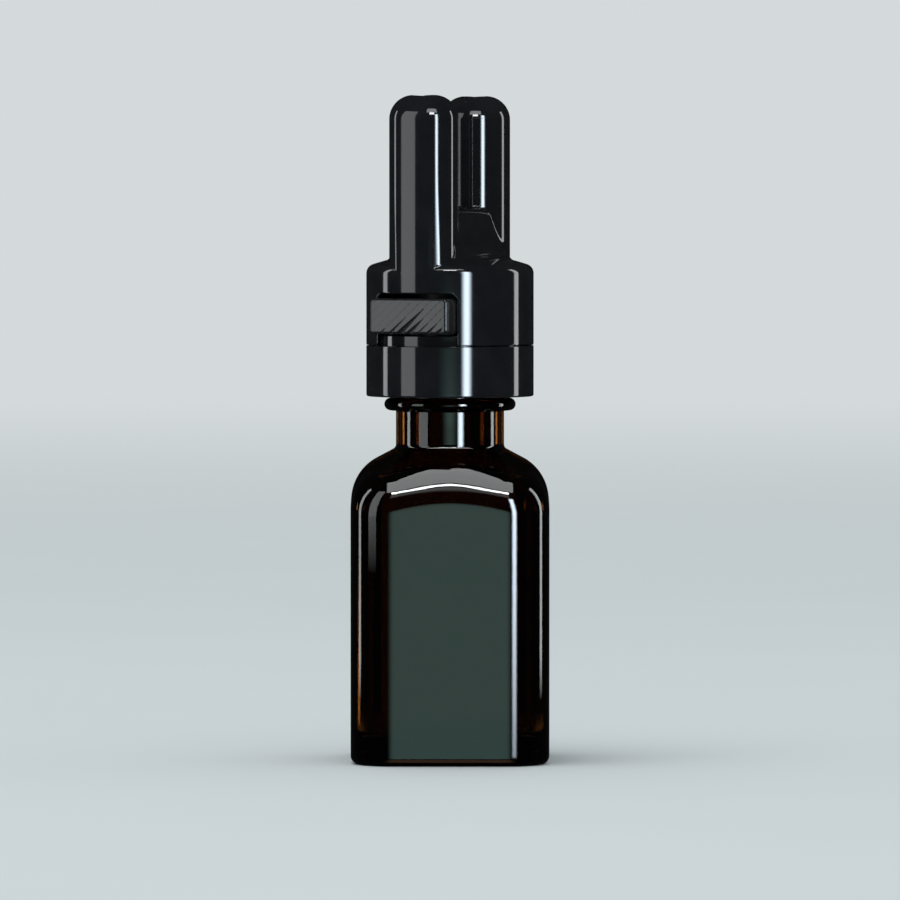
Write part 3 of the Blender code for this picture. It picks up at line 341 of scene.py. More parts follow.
def head_field(u, v, z):
    """The drum, the towers and the hump, hollowed, with the outlets and the button's window."""
    radius = np.hypot(u, v)
    drum, facing = drum_field(radius, z)
    section = tower_section(u, v, z)
    below = CAVITY_TOP - z
    tower = np.maximum(round_and(section, z - TOWER_TOP, TOWER_EDGE), below)
    saddle = np.maximum(saddle_field(u, v, z, 0), below)
    hump = round_or(drum, saddle, SADDLE_FLARE)
    fillet = TOWER_SADDLE_FILLET + ((TOWER_FILLET - TOWER_SADDLE_FILLET)
                                    * smooth_step(*FILLET_HEIGHTS, z))
    inset = CAP_RADIUS - radius
    on_roof = smooth_step(*FILLET_FACING, facing) * smooth_step(0, FILLET_INSET, inset)
    solid = round_or(hump, tower, np.maximum(on_roof * fillet, LEAST_FILLET))

    wall = SHELL_WALL
    hollow = np.maximum(radius - SHELL_INNER, z - CAVITY_TOP)
    hollow = np.minimum(hollow, np.maximum(radius - REBATE_RADIUS, z - REBATE_TOP))
    inside_tower = round_and(section + wall, z - TOWER_INNER_TOP, TOWER_EDGE - wall)
    inside_saddle = saddle_field(u, v, z, wall)
    inside_above = np.maximum(np.minimum(inside_tower, inside_saddle), below - CAVITY_OVERLAP)
    hollow = np.minimum(hollow, inside_above)
    solid = round_and(solid, -hollow, CAVITY_EDGE)

    outlet = np.hypot(u, np.abs(v) - OUTLET_CENTRE) - OUTLET_RADIUS
    outlet = np.maximum(outlet, TOWER_INNER_TOP - CAVITY_OVERLAP - z)
    solid = round_and(solid, -outlet, OUTLET_LIP)
    window = round_and(np.abs(u) - WINDOW_HALF, z - WINDOW_TOP, WINDOW_CORNER)
    window = np.maximum(window, v + WINDOW_DEPTH)
    return round_and(solid, -window, WINDOW_LIP)


def make_head_shell(material):
    reach = CAP_RADIUS + HEAD_MARGIN
    low = (-reach, -reach, SHELL_BOTTOM - HEAD_MARGIN)
    high = (reach, reach, TOWER_TOP + HEAD_MARGIN)
    cell = HEAD_CELL
    points, quads, normals = field_mesh(head_field, low, high, cell)
    make_piece("moulded_head", yawed(points), quads.tolist(), yawed(normals), "head",
               "gloss_black", material, "head_shell")


# Push button

GROOVE_STEP = 1.53
GROOVE_SHIFT = 0.15
GROOVE_SLANT = 1.13
LINE_HALF = 0.09
LINE_SLOPE = 0.14
WEDGE_SLOPE = 0.8
WEDGE_TAPER = 0.8
# How far up each groove's wedge reaches, as a share of the face, and its half width at the foot.
WEDGES = ((0.49, 0.2), (0.75, 0.4), (0.45, 0.36), (0.36, 0.14), (0.32, 0.24), (0.2, 0.38),
          (0.1, 0.05), (0.1, 0.05), (0.18, 0.17))
BUTTON_REAR_EDGE = 0.1
BUTTON_BOSS_RADIUS = 2.0
BUTTON_BOSS_FRONT = 12.5
BUTTON_BOSS_REAR = 9.2
SOCKET_RADIUS = 1.35
SOCKET_FRONT = 11.5
BUTTON_MARGIN = 0.3
BUTTON_CELL = 0.08


def groove_depth(u, z):
    """Fine slanting lines over the button's face, which open into wedges toward its foot."""
    rise = z - BUTTON_MIDDLE
    across = (u - rise * GROOVE_SLANT) / GROOVE_STEP + GROOVE_SHIFT
    number = np.round(across)
    off = np.abs(across - number) * GROOVE_STEP / math.hypot(1, GROOVE_SLANT)
    wedge = np.array(WEDGES)[number.astype(int) % len(WEDGES)]
    reach, half = wedge[..., 0], wedge[..., 1]
    drop = 0.5 - rise / (2 * BUTTON_HALF_HEIGHT)
    half = half * np.clip((drop - 1 + reach) / reach, 0, 1) ** WEDGE_TAPER
    line = LINE_SLOPE * np.maximum(LINE_HALF - off, 0)
    return line + WEDGE_SLOPE * np.maximum(half - off, 0)


def button_field(u, v, z):
    """The hollow button with its grooved face, its ears and the boss that holds the spool."""
    side, rise = np.abs(u), np.abs(z - BUTTON_MIDDLE)
    inner_half = BUTTON_HALF_HEIGHT - BUTTON_WALL
    inner_side = BUTTON_HALF - BUTTON_WALL
    outline = round_and(side - BUTTON_HALF, rise - BUTTON_HALF_HEIGHT, BUTTON_CORNER)
    block = round_and(outline, -v - BUTTON_FACE + groove_depth(u, z), BUTTON_EDGE)
    block = round_and(block, v + BUTTON_REAR, BUTTON_REAR_EDGE)
    hollow = np.maximum(np.maximum(side - inner_side, rise - inner_half), -BUTTON_INNER - v)
    throat = np.maximum(side - inner_side, -BUTTON_SKIRT - v)
    block = np.maximum(block, -np.minimum(hollow, throat))
    ear = np.maximum(np.maximum(side - EAR_HALF, BUTTON_HALF - BUTTON_WALL / 2 - side),
                     rise - inner_half)
    ear = np.maximum(ear, np.maximum(v + BUTTON_REAR, -EAR_FRONT - v))
    from_axis = np.hypot(u, z - BUTTON_MIDDLE)
    boss = np.maximum(from_axis - BUTTON_BOSS_RADIUS,
                      np.maximum(v + BUTTON_BOSS_REAR, -BUTTON_BOSS_FRONT - v))
    block = np.minimum(block, np.minimum(ear, boss))
    socket = np.maximum(from_axis - SOCKET_RADIUS, -SOCKET_FRONT - v)
    return np.maximum(block, -socket)


def make_button(material):
    low = (-EAR_HALF - BUTTON_MARGIN, -BUTTON_FACE - BUTTON_MARGIN,
           BUTTON_MIDDLE - BUTTON_HALF_HEIGHT - BUTTON_MARGIN)
    high = (EAR_HALF + BUTTON_MARGIN, -BUTTON_REAR + BUTTON_MARGIN,
            BUTTON_MIDDLE + BUTTON_HALF_HEIGHT + BUTTON_MARGIN)
    cell = BUTTON_CELL
    points, quads, normals = field_mesh(button_field, low, high, cell)
    make_piece("grooved_button", yawed(points), quads.tolist(), yawed(normals), "button",
               "button_black", material, "push_button")


# Glass bottle

FACE_STEPS = 20
CORNER_STEPS = 28
SHOULDER_STEPS = 22
THREAD_ROWS = 50
# The first row of the bead and of the thread stands this far out from the neck.
NECK_STEP = 0.05


def square_reach(angle, half, corner):
    """Distance from the axis to a rounded square, in each of many directions."""
    quarter = math.pi / 2
    turn = np.abs((angle + quarter / 2) % quarter - quarter / 2)
    flat = half - corner
    along = flat * (np.cos(turn) + np.sin(turn))
    round_reach = along + np.sqrt(np.maximum(corner ** 2 - 2 * flat ** 2 + along ** 2, 0))
    return np.where(np.tan(turn) <= flat / half, half / np.cos(turn), round_reach)


def bottle_angles():
    """Directions of the glass's columns: evenly spread over each flat and round each corner."""
    half = BODY_WIDTH / 2
    flat = half - BODY_CORNER
    across = np.linspace(-flat, flat, FACE_STEPS + 1)[:-1]
    turns = np.linspace(0, math.pi / 2, CORNER_STEPS + 1)[:-1]
    quarter = np.concatenate((np.arctan2(across, half),
                              np.arctan2(flat + BODY_CORNER * np.sin(turns),
                                         flat + BODY_CORNER * np.cos(turns))))
    return np.concatenate([quarter + side * math.pi / 2 for side in range(4)])


def thread_ridge(angle, z, first_angle, first_z):
    """How far a thread's ridge stands out at each angle and height, from 0 to 1."""
    turn = ((angle - first_angle) / (2 * math.pi)) % 1.0
    best = np.zeros_like(z * angle)
    for lap in range(2):
        share = (turn + lap) / THREAD_TURNS
        middle = first_z + THREAD_PITCH * (turn + lap)
        full = np.clip(np.minimum(share, 1 - share) / THREAD_FADE, 0, 1)
        off = np.abs(z - middle)
        rise = smooth_step(THREAD_ROOT / 2 + THREAD_SOFT, THREAD_CREST / 2 - THREAD_SOFT, off)
        best = np.maximum(best, rise * full * (share <= 1))
    return best


def bottle_rows(angle):
    """Rows (reach, height) of the glass, from under the base, up outside and down inside."""
    ones = np.ones_like(angle)
    half = BODY_WIDTH / 2
    outer = square_reach(angle, half, BODY_CORNER)
    rows = []

    def add(reach, height):
        rows.append((reach * ones, height * ones))

    def between(first, last, shares):
        """Rows at some shares of the way from one row to another."""
        for share in shares:
            add(first[0] + (last[0] - first[0]) * share, first[1] + (last[1] - first[1]) * share)

    ring_outside = square_reach(angle, half - HEEL_RADIUS, BODY_CORNER - HEEL_RADIUS)
    ring_inside = outer * (1 - (HEEL_RADIUS + STANDING_RING) / half)
    ramp_top = outer * (1 - (HEEL_RADIUS + STANDING_RING + PUSH_UP_RAMP) / half)
    for share in (0.1, 0.3, 0.5, 0.7, 0.9):
        add(ramp_top * share, PUSH_UP)
    between((ramp_top, PUSH_UP), (ring_inside, 0), (-0.05, 0.05, 0.5, 0.95))
    between((ring_inside, 0), (ring_outside, 0), (0.05, 0.5, 0.97))
    for x, z in arc(0, HEEL_RADIUS, HEEL_RADIUS, -90, 0, 10):
        add(ring_outside + (outer - ring_outside) * x / HEEL_RADIUS, z)

    def shoulder(reach, neck, foot, fillet):
        """Rows round the shoulder's corner, between an upright wall and the slope to the neck."""
        corner = foot - (reach - neck) * math.tan(SHOULDER_ANGLE)
        turn = math.pi / 2 - SHOULDER_ANGLE
        drop = fillet * math.tan(turn / 2)
        turns = np.linspace(0, turn, SHOULDER_STEPS + 1)
        return [(reach - fillet + fillet * math.cos(t), corner - drop + fillet * math.sin(t))
                for t in turns]

    curve = shoulder(outer, NECK_RADIUS, NECK_FOOT, SHOULDER_RADIUS)
    between((outer, HEEL_RADIUS), curve[0], (0.01, 0.1, 0.3, 0.5, 0.7, 0.9, 0.99))
    for reach, height in curve:
        add(reach, height)
    turn = 90 - math.degrees(SHOULDER_ANGLE)
    rise = NECK_FILLET * math.tan(math.radians(turn) / 2)
    foot = arc(NECK_RADIUS + NECK_FILLET, NECK_FOOT + rise, NECK_FILLET, 180 + turn, 180, 8)
    between(curve[-1], foot[0], (0.05, 0.35, 0.65, 0.95))
    for r, z in foot:
        add(r, z)
    bead_centre = NECK_RADIUS + BEAD_STAND_OUT - BEAD_RADIUS
    bead_foot = BEAD_HEIGHT - BEAD_RADIUS
    between((NECK_RADIUS, foot[-1][1]), (NECK_RADIUS, bead_foot), (0.03, 0.5, 0.97))
    add(NECK_RADIUS + NECK_STEP, bead_foot)
    for r, z in arc(bead_centre, BEAD_HEIGHT, BEAD_RADIUS, -90, 90, 18):
        add(r, z)
    add(NECK_RADIUS + NECK_STEP, BEAD_TOP)
    lip_z = MOUTH - LIP_RADIUS
    for z in np.linspace(BEAD_TOP, lip_z, THREAD_ROWS):
        ridge = thread_ridge(angle, z, 0, BEAD_TOP + THREAD_RISE)
        add(NECK_RADIUS + THREAD_DEPTH * ridge, z)
    for r, z in arc(NECK_RADIUS - LIP_RADIUS, lip_z, LIP_RADIUS, 0, 90, 6)[1:]:
        add(r, z)
    for r, z in arc(NECK_BORE + LIP_RADIUS, lip_z, LIP_RADIUS, 90, 180, 6):
        add(r, z)

    inner = square_reach(angle, half - BODY_WALL, BODY_CORNER - BODY_WALL)
    inner_foot = (NECK_FOOT + (NECK_RADIUS - NECK_BORE) * math.tan(SHOULDER_ANGLE)
                  - BODY_WALL / math.cos(SHOULDER_ANGLE))
    between((NECK_BORE, lip_z), (NECK_BORE, inner_foot), (0.02, 0.5, 0.98))
    curve = shoulder(inner, NECK_BORE, inner_foot, SHOULDER_RADIUS - BODY_WALL)
    between((NECK_BORE, inner_foot), curve[-1], (0.04, 0.5, 0.95))
    for reach, height in reversed(curve):
        add(reach, height)
    heel_z = BASE_THICKNESS + INNER_HEEL
    between(curve[0], (inner, heel_z), (0.01, 0.1, 0.5, 0.9, 0.99))
    heel_reach = inner * (1 - INNER_HEEL / (half - BODY_WALL))
    for x, z in arc(0, heel_z, INNER_HEEL, 0, -90, 10):
        add(heel_reach + (inner - heel_reach) * x / INNER_HEEL, z)
    for share in (0.95, 0.6, 0.3, 0.1):
        add(heel_reach * share, BASE_THICKNESS)
    return rows


def loft(angle, rows):
    """Points of a loft from its rows (reach, height), each given in every direction."""
    reach = np.array([row[0] for row in rows])
    height = np.array([row[1] for row in rows])
    points = np.stack((reach * np.cos(angle), reach * np.sin(angle), height), axis=-1)
    return points.reshape(-1, 3)


def make_glass(material):
    angle = bottle_angles()
    rows = bottle_rows(angle)
    points = loft(angle, rows)
    columns = len(angle)
    faces = ring_faces(len(rows), columns)
    normals = face_normals(points, faces)
    ends = [list(range(columns))[::-1],
            list(range((len(rows) - 1) * columns, len(rows) * columns))]
    make_piece("amber_bottle", points, faces.tolist() + ends, normals, "bottle",
               "amber_glass", material, "glass_bottle")


# Collar and sleeves

COLLAR_STEPS = 192
SLEEVE_STEPS = 64
DECK_EDGE = 0.12
# Rows this far beside an edge keep the shading of the faces next to it even.
FINE_GUARD = 0.05
GUARD = 0.1
WIDE_GUARD = 0.3
SEAM_FOOT = 0.03


def turned_rows(profile, columns):
    """Directions and rows of a turned piece, from its profile of (r, z)."""
    angle = np.linspace(0, 2 * math.pi, columns, endpoint=False)
    ones = np.ones_like(angle)
    return angle, [(r * ones, z * ones) for r, z in profile]


def make_ring(name, angle, rows, body, slot_name, material, node, centre=(0, 0)):
    """A closed turned ring, whose last row joins its first."""
    points = loft(angle, rows) + np.array([*centre, 0])
    columns, count = len(angle), len(rows)
    faces = ring_faces(count + 1, columns)
    faces = np.where(faces >= count * columns, faces - count * columns, faces)
    normals = face_normals(points, faces)
    volume = (np.cross(points[faces[:, 0]], points[faces[:, 1]]) * points[faces[:, 2]]).sum()
    if volume < 0:
        faces, normals = faces[:, ::-1], -normals
    make_piece(name, points, faces.tolist(), normals, body, slot_name, material, node)


def make_collar(material):
    """The collar, in rows over its deck, down outside and up the threaded bore."""
    edge, top, bottom = CAP_EDGE, COLLAR_TOP, COLLAR_BOTTOM
    deck_edge = DECK_TOP - DECK_EDGE
    profile = arc(DECK_BORE + DECK_EDGE, deck_edge, DECK_EDGE, 180, 90, 3)
    profile += [(DECK_BORE + WIDE_GUARD, DECK_TOP), (SPIGOT_RADIUS - WIDE_GUARD, DECK_TOP)]
    profile += arc(SPIGOT_RADIUS - DECK_EDGE, deck_edge, DECK_EDGE, 90, 0, 3)
    profile += [(SPIGOT_RADIUS, DECK_TOP - 2 * GUARD), (SPIGOT_RADIUS, top + FINE_GUARD),
                (SPIGOT_RADIUS + SEAM_FOOT, top)]
    profile += arc(CAP_RADIUS - SEAM_EDGE, top - SEAM_EDGE, SEAM_EDGE, 90, 0, 6)
    profile += [(CAP_RADIUS, top - SEAM_EDGE - GUARD), (CAP_RADIUS, (top + bottom) / 2),
                (CAP_RADIUS, bottom + edge + GUARD)]
    profile += arc(CAP_RADIUS - edge, bottom + edge, edge, 0, -90, 8)
    profile += [(CAP_RADIUS - edge - GUARD, bottom), (COLLAR_BORE + edge + GUARD, bottom)]
    profile += arc(COLLAR_BORE + edge, bottom + edge, edge, -90, -180, 5)
    angle, rows = turned_rows(profile, COLLAR_STEPS)

    # The collar's ridge lies just under the bottle's, so its start is turned by their distance.
    flank = THREAD_ROOT - ((THREAD_ROOT - THREAD_CREST)
                           * (THREAD_DEPTH + THREAD_RADIAL_GAP) / THREAD_DEPTH / 2)
    rise = bottom + COLLAR_THREAD_RISE + flank + THREAD_AXIAL_GAP - BEAD_TOP - THREAD_RISE
    first = 2 * math.pi * rise / THREAD_PITCH
    for z in np.linspace(bottom + edge + FINE_GUARD, DECK_BOTTOM - GUARD, THREAD_ROWS):
        ridge = thread_ridge(angle, z, first, bottom + COLLAR_THREAD_RISE)
        rows.append((COLLAR_BORE - THREAD_DEPTH * ridge, z + 0 * angle))
    underside = [(COLLAR_BORE, DECK_BOTTOM), (COLLAR_BORE - GUARD, DECK_BOTTOM),
                 (DECK_BORE + GUARD, DECK_BOTTOM), (DECK_BORE, DECK_BOTTOM + FINE_GUARD)]
    rows += turned_rows(underside, COLLAR_STEPS)[1]
    make_ring("turning_collar", angle, rows, "collar", "gloss_black", material, "screw_collar")


def make_sleeve(name, side, material, node):
    """A soft sleeve on a vapour tube, with the nipple that shows in the tower's outlet."""
    fine, grip, outside = FINE_GUARD, SLEEVE_GRIP, SLEEVE_OUTSIDE
    shoulder = SLEEVE_TOP - SLEEVE_CONE
    seat = TUBE_TOP + TUBE_GAP
    lip_middle = (NIPPLE_BORE + NIPPLE_RADIUS) / 2
    profile = [(NIPPLE_BORE, NIPPLE_TOP - GUARD)]
    profile += arc(lip_middle, NIPPLE_TOP - NIPPLE_LIP, NIPPLE_LIP, 180, 0, 8)
    profile += [(NIPPLE_RADIUS, NIPPLE_TOP - WIDE_GUARD), (NIPPLE_RADIUS, SLEEVE_TOP + fine),
                (NIPPLE_RADIUS + fine, SLEEVE_TOP - fine), (outside - fine, shoulder + fine),
                (outside, shoulder - fine)]
    profile += arc(outside - SLEEVE_LIP, SLEEVE_BOTTOM + SLEEVE_LIP, SLEEVE_LIP, 0, -180, 6)
    profile += [(grip, SLEEVE_BOTTOM + WIDE_GUARD), (grip, seat - fine), (grip - fine, seat),
                (NIPPLE_BORE + fine, seat), (NIPPLE_BORE, seat + fine)]
    angle, rows = turned_rows(profile, SLEEVE_STEPS)
    centre = yawed(np.array([[0.0, side * OUTLET_CENTRE, 0.0]]))[0]
    make_ring(name, angle, rows, "head", "black_rubber", material, node, centre[:2])


# Materials: noise scales in cycles per metre, relief in millimetres

NOISE_SPREAD = (0.35, 0.65)
COLOUR_SPREAD = (0.3, 0.7)
MOTTLE_SCALE = 260
GLOSS_SCALE = 420
GLOSS_ROUGHNESS = 0.6
WAVE_SCALE = 180
PLASTIC_IOR = 1.5
GLASS_IOR = 1.5
AMBER_TINTS = ((0.105, 0.05, 0.018), (0.12, 0.057, 0.021))
AMBER_GLOSS = (0.0, 0.012)
AMBER_GRAIN = 0.00005
AMBER_WAVE = 0.002
AMBER_TINT_SCALE = 90
AMBER_GLOSS_SCALE = 300
AMBER_GRAIN_SCALE = 1600
AMBER_WAVE_SCALE = 70
AMBER_PASS = (0.6, 0.45, 0.2, 1.0)
AMBER_DENSITY = 500.0


def new_material(name):
    """A material with its nodes and links."""
    material = bpy.data.materials.new(name)
    material.use_nodes = True
    return material, material.node_tree.nodes, material.node_tree.links


def object_noise(nodes, links, scale, detail, roughness=0.5):
    """Noise that stays in its place on the piece."""
    place = nodes.get("place") or nodes.new("ShaderNodeTexCoord")
    place.name = "place"
    noise = nodes.new("ShaderNodeTexNoise")
    noise.inputs["Scale"].default_value = scale
    noise.inputs["Detail"].default_value = detail
    noise.inputs["Roughness"].default_value = roughness
    links.new(place.outputs["Object"], noise.inputs["Vector"])
    return noise.outputs["Fac"]


def ramp(nodes, links, source, low, high):
    """A number spread between two values by a noise."""
    node = nodes.new("ShaderNodeMapRange")
    node.inputs["From Min"].default_value = NOISE_SPREAD[0]
    node.inputs["From Max"].default_value = NOISE_SPREAD[1]
    node.inputs["To Min"].default_value = low
    node.inputs["To Max"].default_value = high
    links.new(source, node.inputs["Value"])
    return node.outputs["Result"]


def colour_ramp(nodes, links, source, first, second):
    """A colour spread between two colours by a noise."""
    node = nodes.new("ShaderNodeValToRGB")
    for element, place, colour in zip(node.color_ramp.elements, COLOUR_SPREAD, (first, second)):
        element.position = place
        element.color = (*colour, 1)
    links.new(source, node.inputs["Fac"])
    return node.outputs["Color"]


def bump(nodes, links, shader, source, depth, under=None):
    """Relief on a shader, over the relief under it where there is one."""
    node = nodes.new("ShaderNodeBump")
    node.inputs["Strength"].default_value = 1.0
    node.inputs["Distance"].default_value = depth * MM
    links.new(source, node.inputs["Height"])
    if under is not None:
        links.new(under, node.inputs["Normal"])
    links.new(node.outputs["Normal"], shader.inputs["Normal"])
    return node.outputs["Normal"]


def moulded(name, colours, gloss, grain_scale, grain_depth, wave_depth=0.0, metallic=0.0):
    """A moulded or drawn surface: colour, gloss and relief all vary a little with place."""
    material, nodes, links = new_material(name)
    shader = nodes["Principled BSDF"]
    shader.inputs["IOR"].default_value = PLASTIC_IOR
    shader.inputs["Metallic"].default_value = metallic
    mottle = object_noise(nodes, links, MOTTLE_SCALE, 4)
    links.new(colour_ramp(nodes, links, mottle, *colours), shader.inputs["Base Color"])
    wiped = object_noise(nodes, links, GLOSS_SCALE, 5, GLOSS_ROUGHNESS)
    links.new(ramp(nodes, links, wiped, *gloss), shader.inputs["Roughness"])
    grain = bump(nodes, links, shader, object_noise(nodes, links, grain_scale, 3), grain_depth)
    if wave_depth:
        wave = object_noise(nodes, links, WAVE_SCALE, 1)
        bump(nodes, links, shader, wave, wave_depth, under=grain)
    return material


def amber_glass():
    """Dark glass: tinted at its faces, with a weak absorption inside, and waved by its mould."""
    material, nodes, links = new_material("amber_glass")
    shader = nodes["Principled BSDF"]
    shader.inputs["Transmission Weight"].default_value = 1.0
    shader.inputs["IOR"].default_value = GLASS_IOR
    tint = object_noise(nodes, links, AMBER_TINT_SCALE, 3)
    links.new(colour_ramp(nodes, links, tint, *AMBER_TINTS), shader.inputs["Base Color"])
    wiped = object_noise(nodes, links, AMBER_GLOSS_SCALE, 4)
    links.new(ramp(nodes, links, wiped, *AMBER_GLOSS), shader.inputs["Roughness"])
    grain = object_noise(nodes, links, AMBER_GRAIN_SCALE, 2)
    fine = bump(nodes, links, shader, grain, AMBER_GRAIN)
    wave = object_noise(nodes, links, AMBER_WAVE_SCALE, 1)
    bump(nodes, links, shader, wave, AMBER_WAVE, under=fine)
    volume = nodes.new("ShaderNodeVolumeAbsorption")
    volume.inputs["Color"].default_value = AMBER_PASS
    volume.inputs["Density"].default_value = AMBER_DENSITY
    links.new(volume.outputs["Volume"], nodes["Material Output"].inputs["Volume"])
    return material


gloss_black = moulded(
    "gloss_black", colours=((0.009, 0.010, 0.012), (0.013, 0.014, 0.016)), gloss=(0.05, 0.08),
    grain_scale=2600, grain_depth=0.00012, wave_depth=0.0012)
button_black = moulded(
    "button_black", colours=((0.012, 0.013, 0.014), (0.018, 0.019, 0.020)), gloss=(0.12, 0.18),
    grain_scale=4200, grain_depth=0.0015)
pale_seal = moulded(
    "pale_seal", colours=((0.58, 0.56, 0.51), (0.66, 0.64, 0.59)), gloss=(0.55, 0.7),
    grain_scale=3000, grain_depth=0.01)
valve_polymer = moulded(
    "valve_polymer", colours=((0.022, 0.022, 0.024), (0.034, 0.034, 0.036)), gloss=(0.35, 0.5),
    grain_scale=2500, grain_depth=0.006)
tube_polymer = moulded(
    "tube_polymer", colours=((0.66, 0.68, 0.68), (0.76, 0.78, 0.78)), gloss=(0.25, 0.38),
    grain_scale=1800, grain_depth=0.003)
black_rubber = moulded(
    "black_rubber", colours=((0.016, 0.016, 0.016), (0.026, 0.026, 0.026)), gloss=(0.5, 0.65),
    grain_scale=3600, grain_depth=0.006)
spring_steel = moulded(
    "spring_steel", colours=((0.55, 0.55, 0.57), (0.66, 0.66, 0.68)), gloss=(0.2, 0.34),
    grain_scale=5200, grain_depth=0.002, metallic=1.0)
glass = amber_glass()

NODE_MATERIALS = {
    "neck_gasket": pale_seal, "valve_body": valve_polymer, "spring_plug": valve_polymer,
    "vapour_manifold": valve_polymer, "valve_spool": tube_polymer,
    "front_vapour_tube": tube_polymer, "rear_vapour_tube": tube_polymer,
    "manifold_seal": black_rubber, "front_spool_seal": black_rubber,
    "middle_spool_seal": black_rubber, "rear_spool_seal": black_rubber,
    "return_spring": spring_steel,
}
for node_name, node_material in NODE_MATERIALS.items():
    for material_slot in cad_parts[node_name].material_slots:
        material_slot.material = node_material

make_glass(glass)
make_collar(gloss_black)
make_head_shell(gloss_black)
make_button(button_black)
make_sleeve("front_sleeve", -1, black_rubber, "front_outlet_sleeve")
make_sleeve("rear_sleeve", 1, black_rubber, "rear_outlet_sleeve")


# Studio: from here on, places are in metres

def stage_mesh(name, points, faces, material, hidden_to):
    """A part of the studio, hidden to some kinds of rays."""
    mesh = bpy.data.meshes.new(name)
    mesh.from_pydata(points, [], faces)
    mesh.materials.append(material)
    thing = bpy.data.objects.new(name, mesh)
    bpy.context.scene.collection.objects.link(thing)
    for kind in hidden_to:
        setattr(thing, "visible_" + kind, False)
    return thing


def math_node(nodes, links, operation, first, second):
    """What a Math node makes of a socket and a second socket or number."""
    node = nodes.new("ShaderNodeMath")
    node.operation = operation
    links.new(first, node.inputs[0])
    if isinstance(second, (int, float)):
        node.inputs[1].default_value = second
    else:
        links.new(second, node.inputs[1])
    return node.outputs["Value"]


def soft_step_node(nodes, links, source, start, end):
    """A soft rise from 0 to 1 as a number goes from start to end."""
    node = nodes.new("ShaderNodeMapRange")
    node.interpolation_type = "SMOOTHSTEP"
    node.inputs["From Min"].default_value = start
    node.inputs["From Max"].default_value = end
    links.new(source, node.inputs["Value"])
    return node.outputs["Result"]


def mix_shaders(nodes, links, share, first, second):
    node = nodes.new("ShaderNodeMixShader")
    links.new(share, node.inputs["Fac"])
    links.new(first, node.inputs[1])
    links.new(second, node.inputs[2])
    return node.outputs["Shader"]


def glow_material(name, colour, strength, once):
    """Light given off by a card, scaled by the glow stored at each of its points.

    once leaves out what is seen by way of two mirrors, or from nearer than the stored least.
    """
    material, nodes, links = new_material(name)
    nodes.remove(nodes["Principled BSDF"])
    glow = nodes.new("ShaderNodeAttribute")
    glow.attribute_name = "glow"
    emission = nodes.new("ShaderNodeEmission")
    emission.inputs["Color"].default_value = (*colour, 1)
    links.new(math_node(nodes, links, "MULTIPLY", glow.outputs["Fac"], strength),
              emission.inputs["Strength"])
    clear = nodes.new("ShaderNodeBsdfTransparent")
    hidden = nodes.new("ShaderNodeNewGeometry").outputs["Backfacing"]
    if once:
        path = nodes.new("ShaderNodeLightPath").outputs
        least = nodes.new("ShaderNodeAttribute")
        least.attribute_name = "least"
        later = math_node(nodes, links, "GREATER_THAN", path["Ray Depth"], FIRST_MIRROR_DEPTH)
        nearer = math_node(nodes, links, "LESS_THAN", path["Ray Length"], least.outputs["Fac"])
        for reason in (later, nearer):
            hidden = math_node(nodes, links, "MAXIMUM", hidden, reason)
    links.new(mix_shaders(nodes, links, hidden, emission.outputs["Emission"],
                          clear.outputs["BSDF"]), nodes["Material Output"].inputs["Surface"])
    return material


def card(name, place, colour, strength, side_soft, low_soft=0.05, unseen_by=(), once=False,
         steps=24, least_from=None):
    """A card that only mirrors and glass see, from its inner side.

    place turns two shares into a point. The light fades in over side_soft at both sides, and
    over low_soft from the start of the second share. With least_from, what lies nearer to the
    card than about that point doesn't see it.
    """
    shares = np.linspace(0, 1, steps + 1)
    grid = [(a, b) for a in shares for b in shares]
    points = [place(a, b) for a, b in grid]
    row = steps + 1
    faces = [(i * row + j, i * row + j + 1, (i + 1) * row + j + 1, (i + 1) * row + j)
             for i in range(steps) for j in range(steps)]
    thing = stage_mesh(name, points, faces, glow_material(name, colour, strength, once),
                       ("camera", "diffuse", "shadow", *unseen_by))
    layer = thing.data.attributes.new("glow", "FLOAT", "POINT")
    for k, (a, b) in enumerate(grid):
        side = smooth_step(0, max(side_soft, LEAST_SOFT), min(a, 1 - a))
        layer.data[k].value = float(side * smooth_step(0, max(low_soft, LEAST_SOFT), b))
    if least_from:
        layer = thing.data.attributes.new("least", "FLOAT", "POINT")
        for k, point in enumerate(points):
            layer.data[k].value = math.dist(point, least_from) - LEAST_MARGIN


def upright_place(first, last, low, high, radius):
    """Places on an upright round wall, by azimuth from the camera's side and by height."""
    def place(a, b):
        azimuth = math.radians(first + (last - first) * a)
        return (radius * math.sin(azimuth), -radius * math.cos(azimuth), low + (high - low) * b)
    return place


def slab_place(half_width, start, end):
    """Places on a flat card that runs from one (y, z) to another."""
    def place(a, b):
        return ((2 * a - 1) * half_width, start[0] + (end[0] - start[0]) * b,
                start[1] + (end[1] - start[1]) * b)
    return place


def dome_place(first, last, low, high, radius):
    """Places on a dome, by azimuth from the camera's side and by the angle above level."""
    def place(a, b):
        azimuth = math.radians(first + (last - first) * a)
        rise = math.radians(low + (high - low) * b)
        out = radius * math.cos(rise)
        return (out * math.sin(azimuth), -out * math.cos(azimuth), radius * math.sin(rise))
    return place


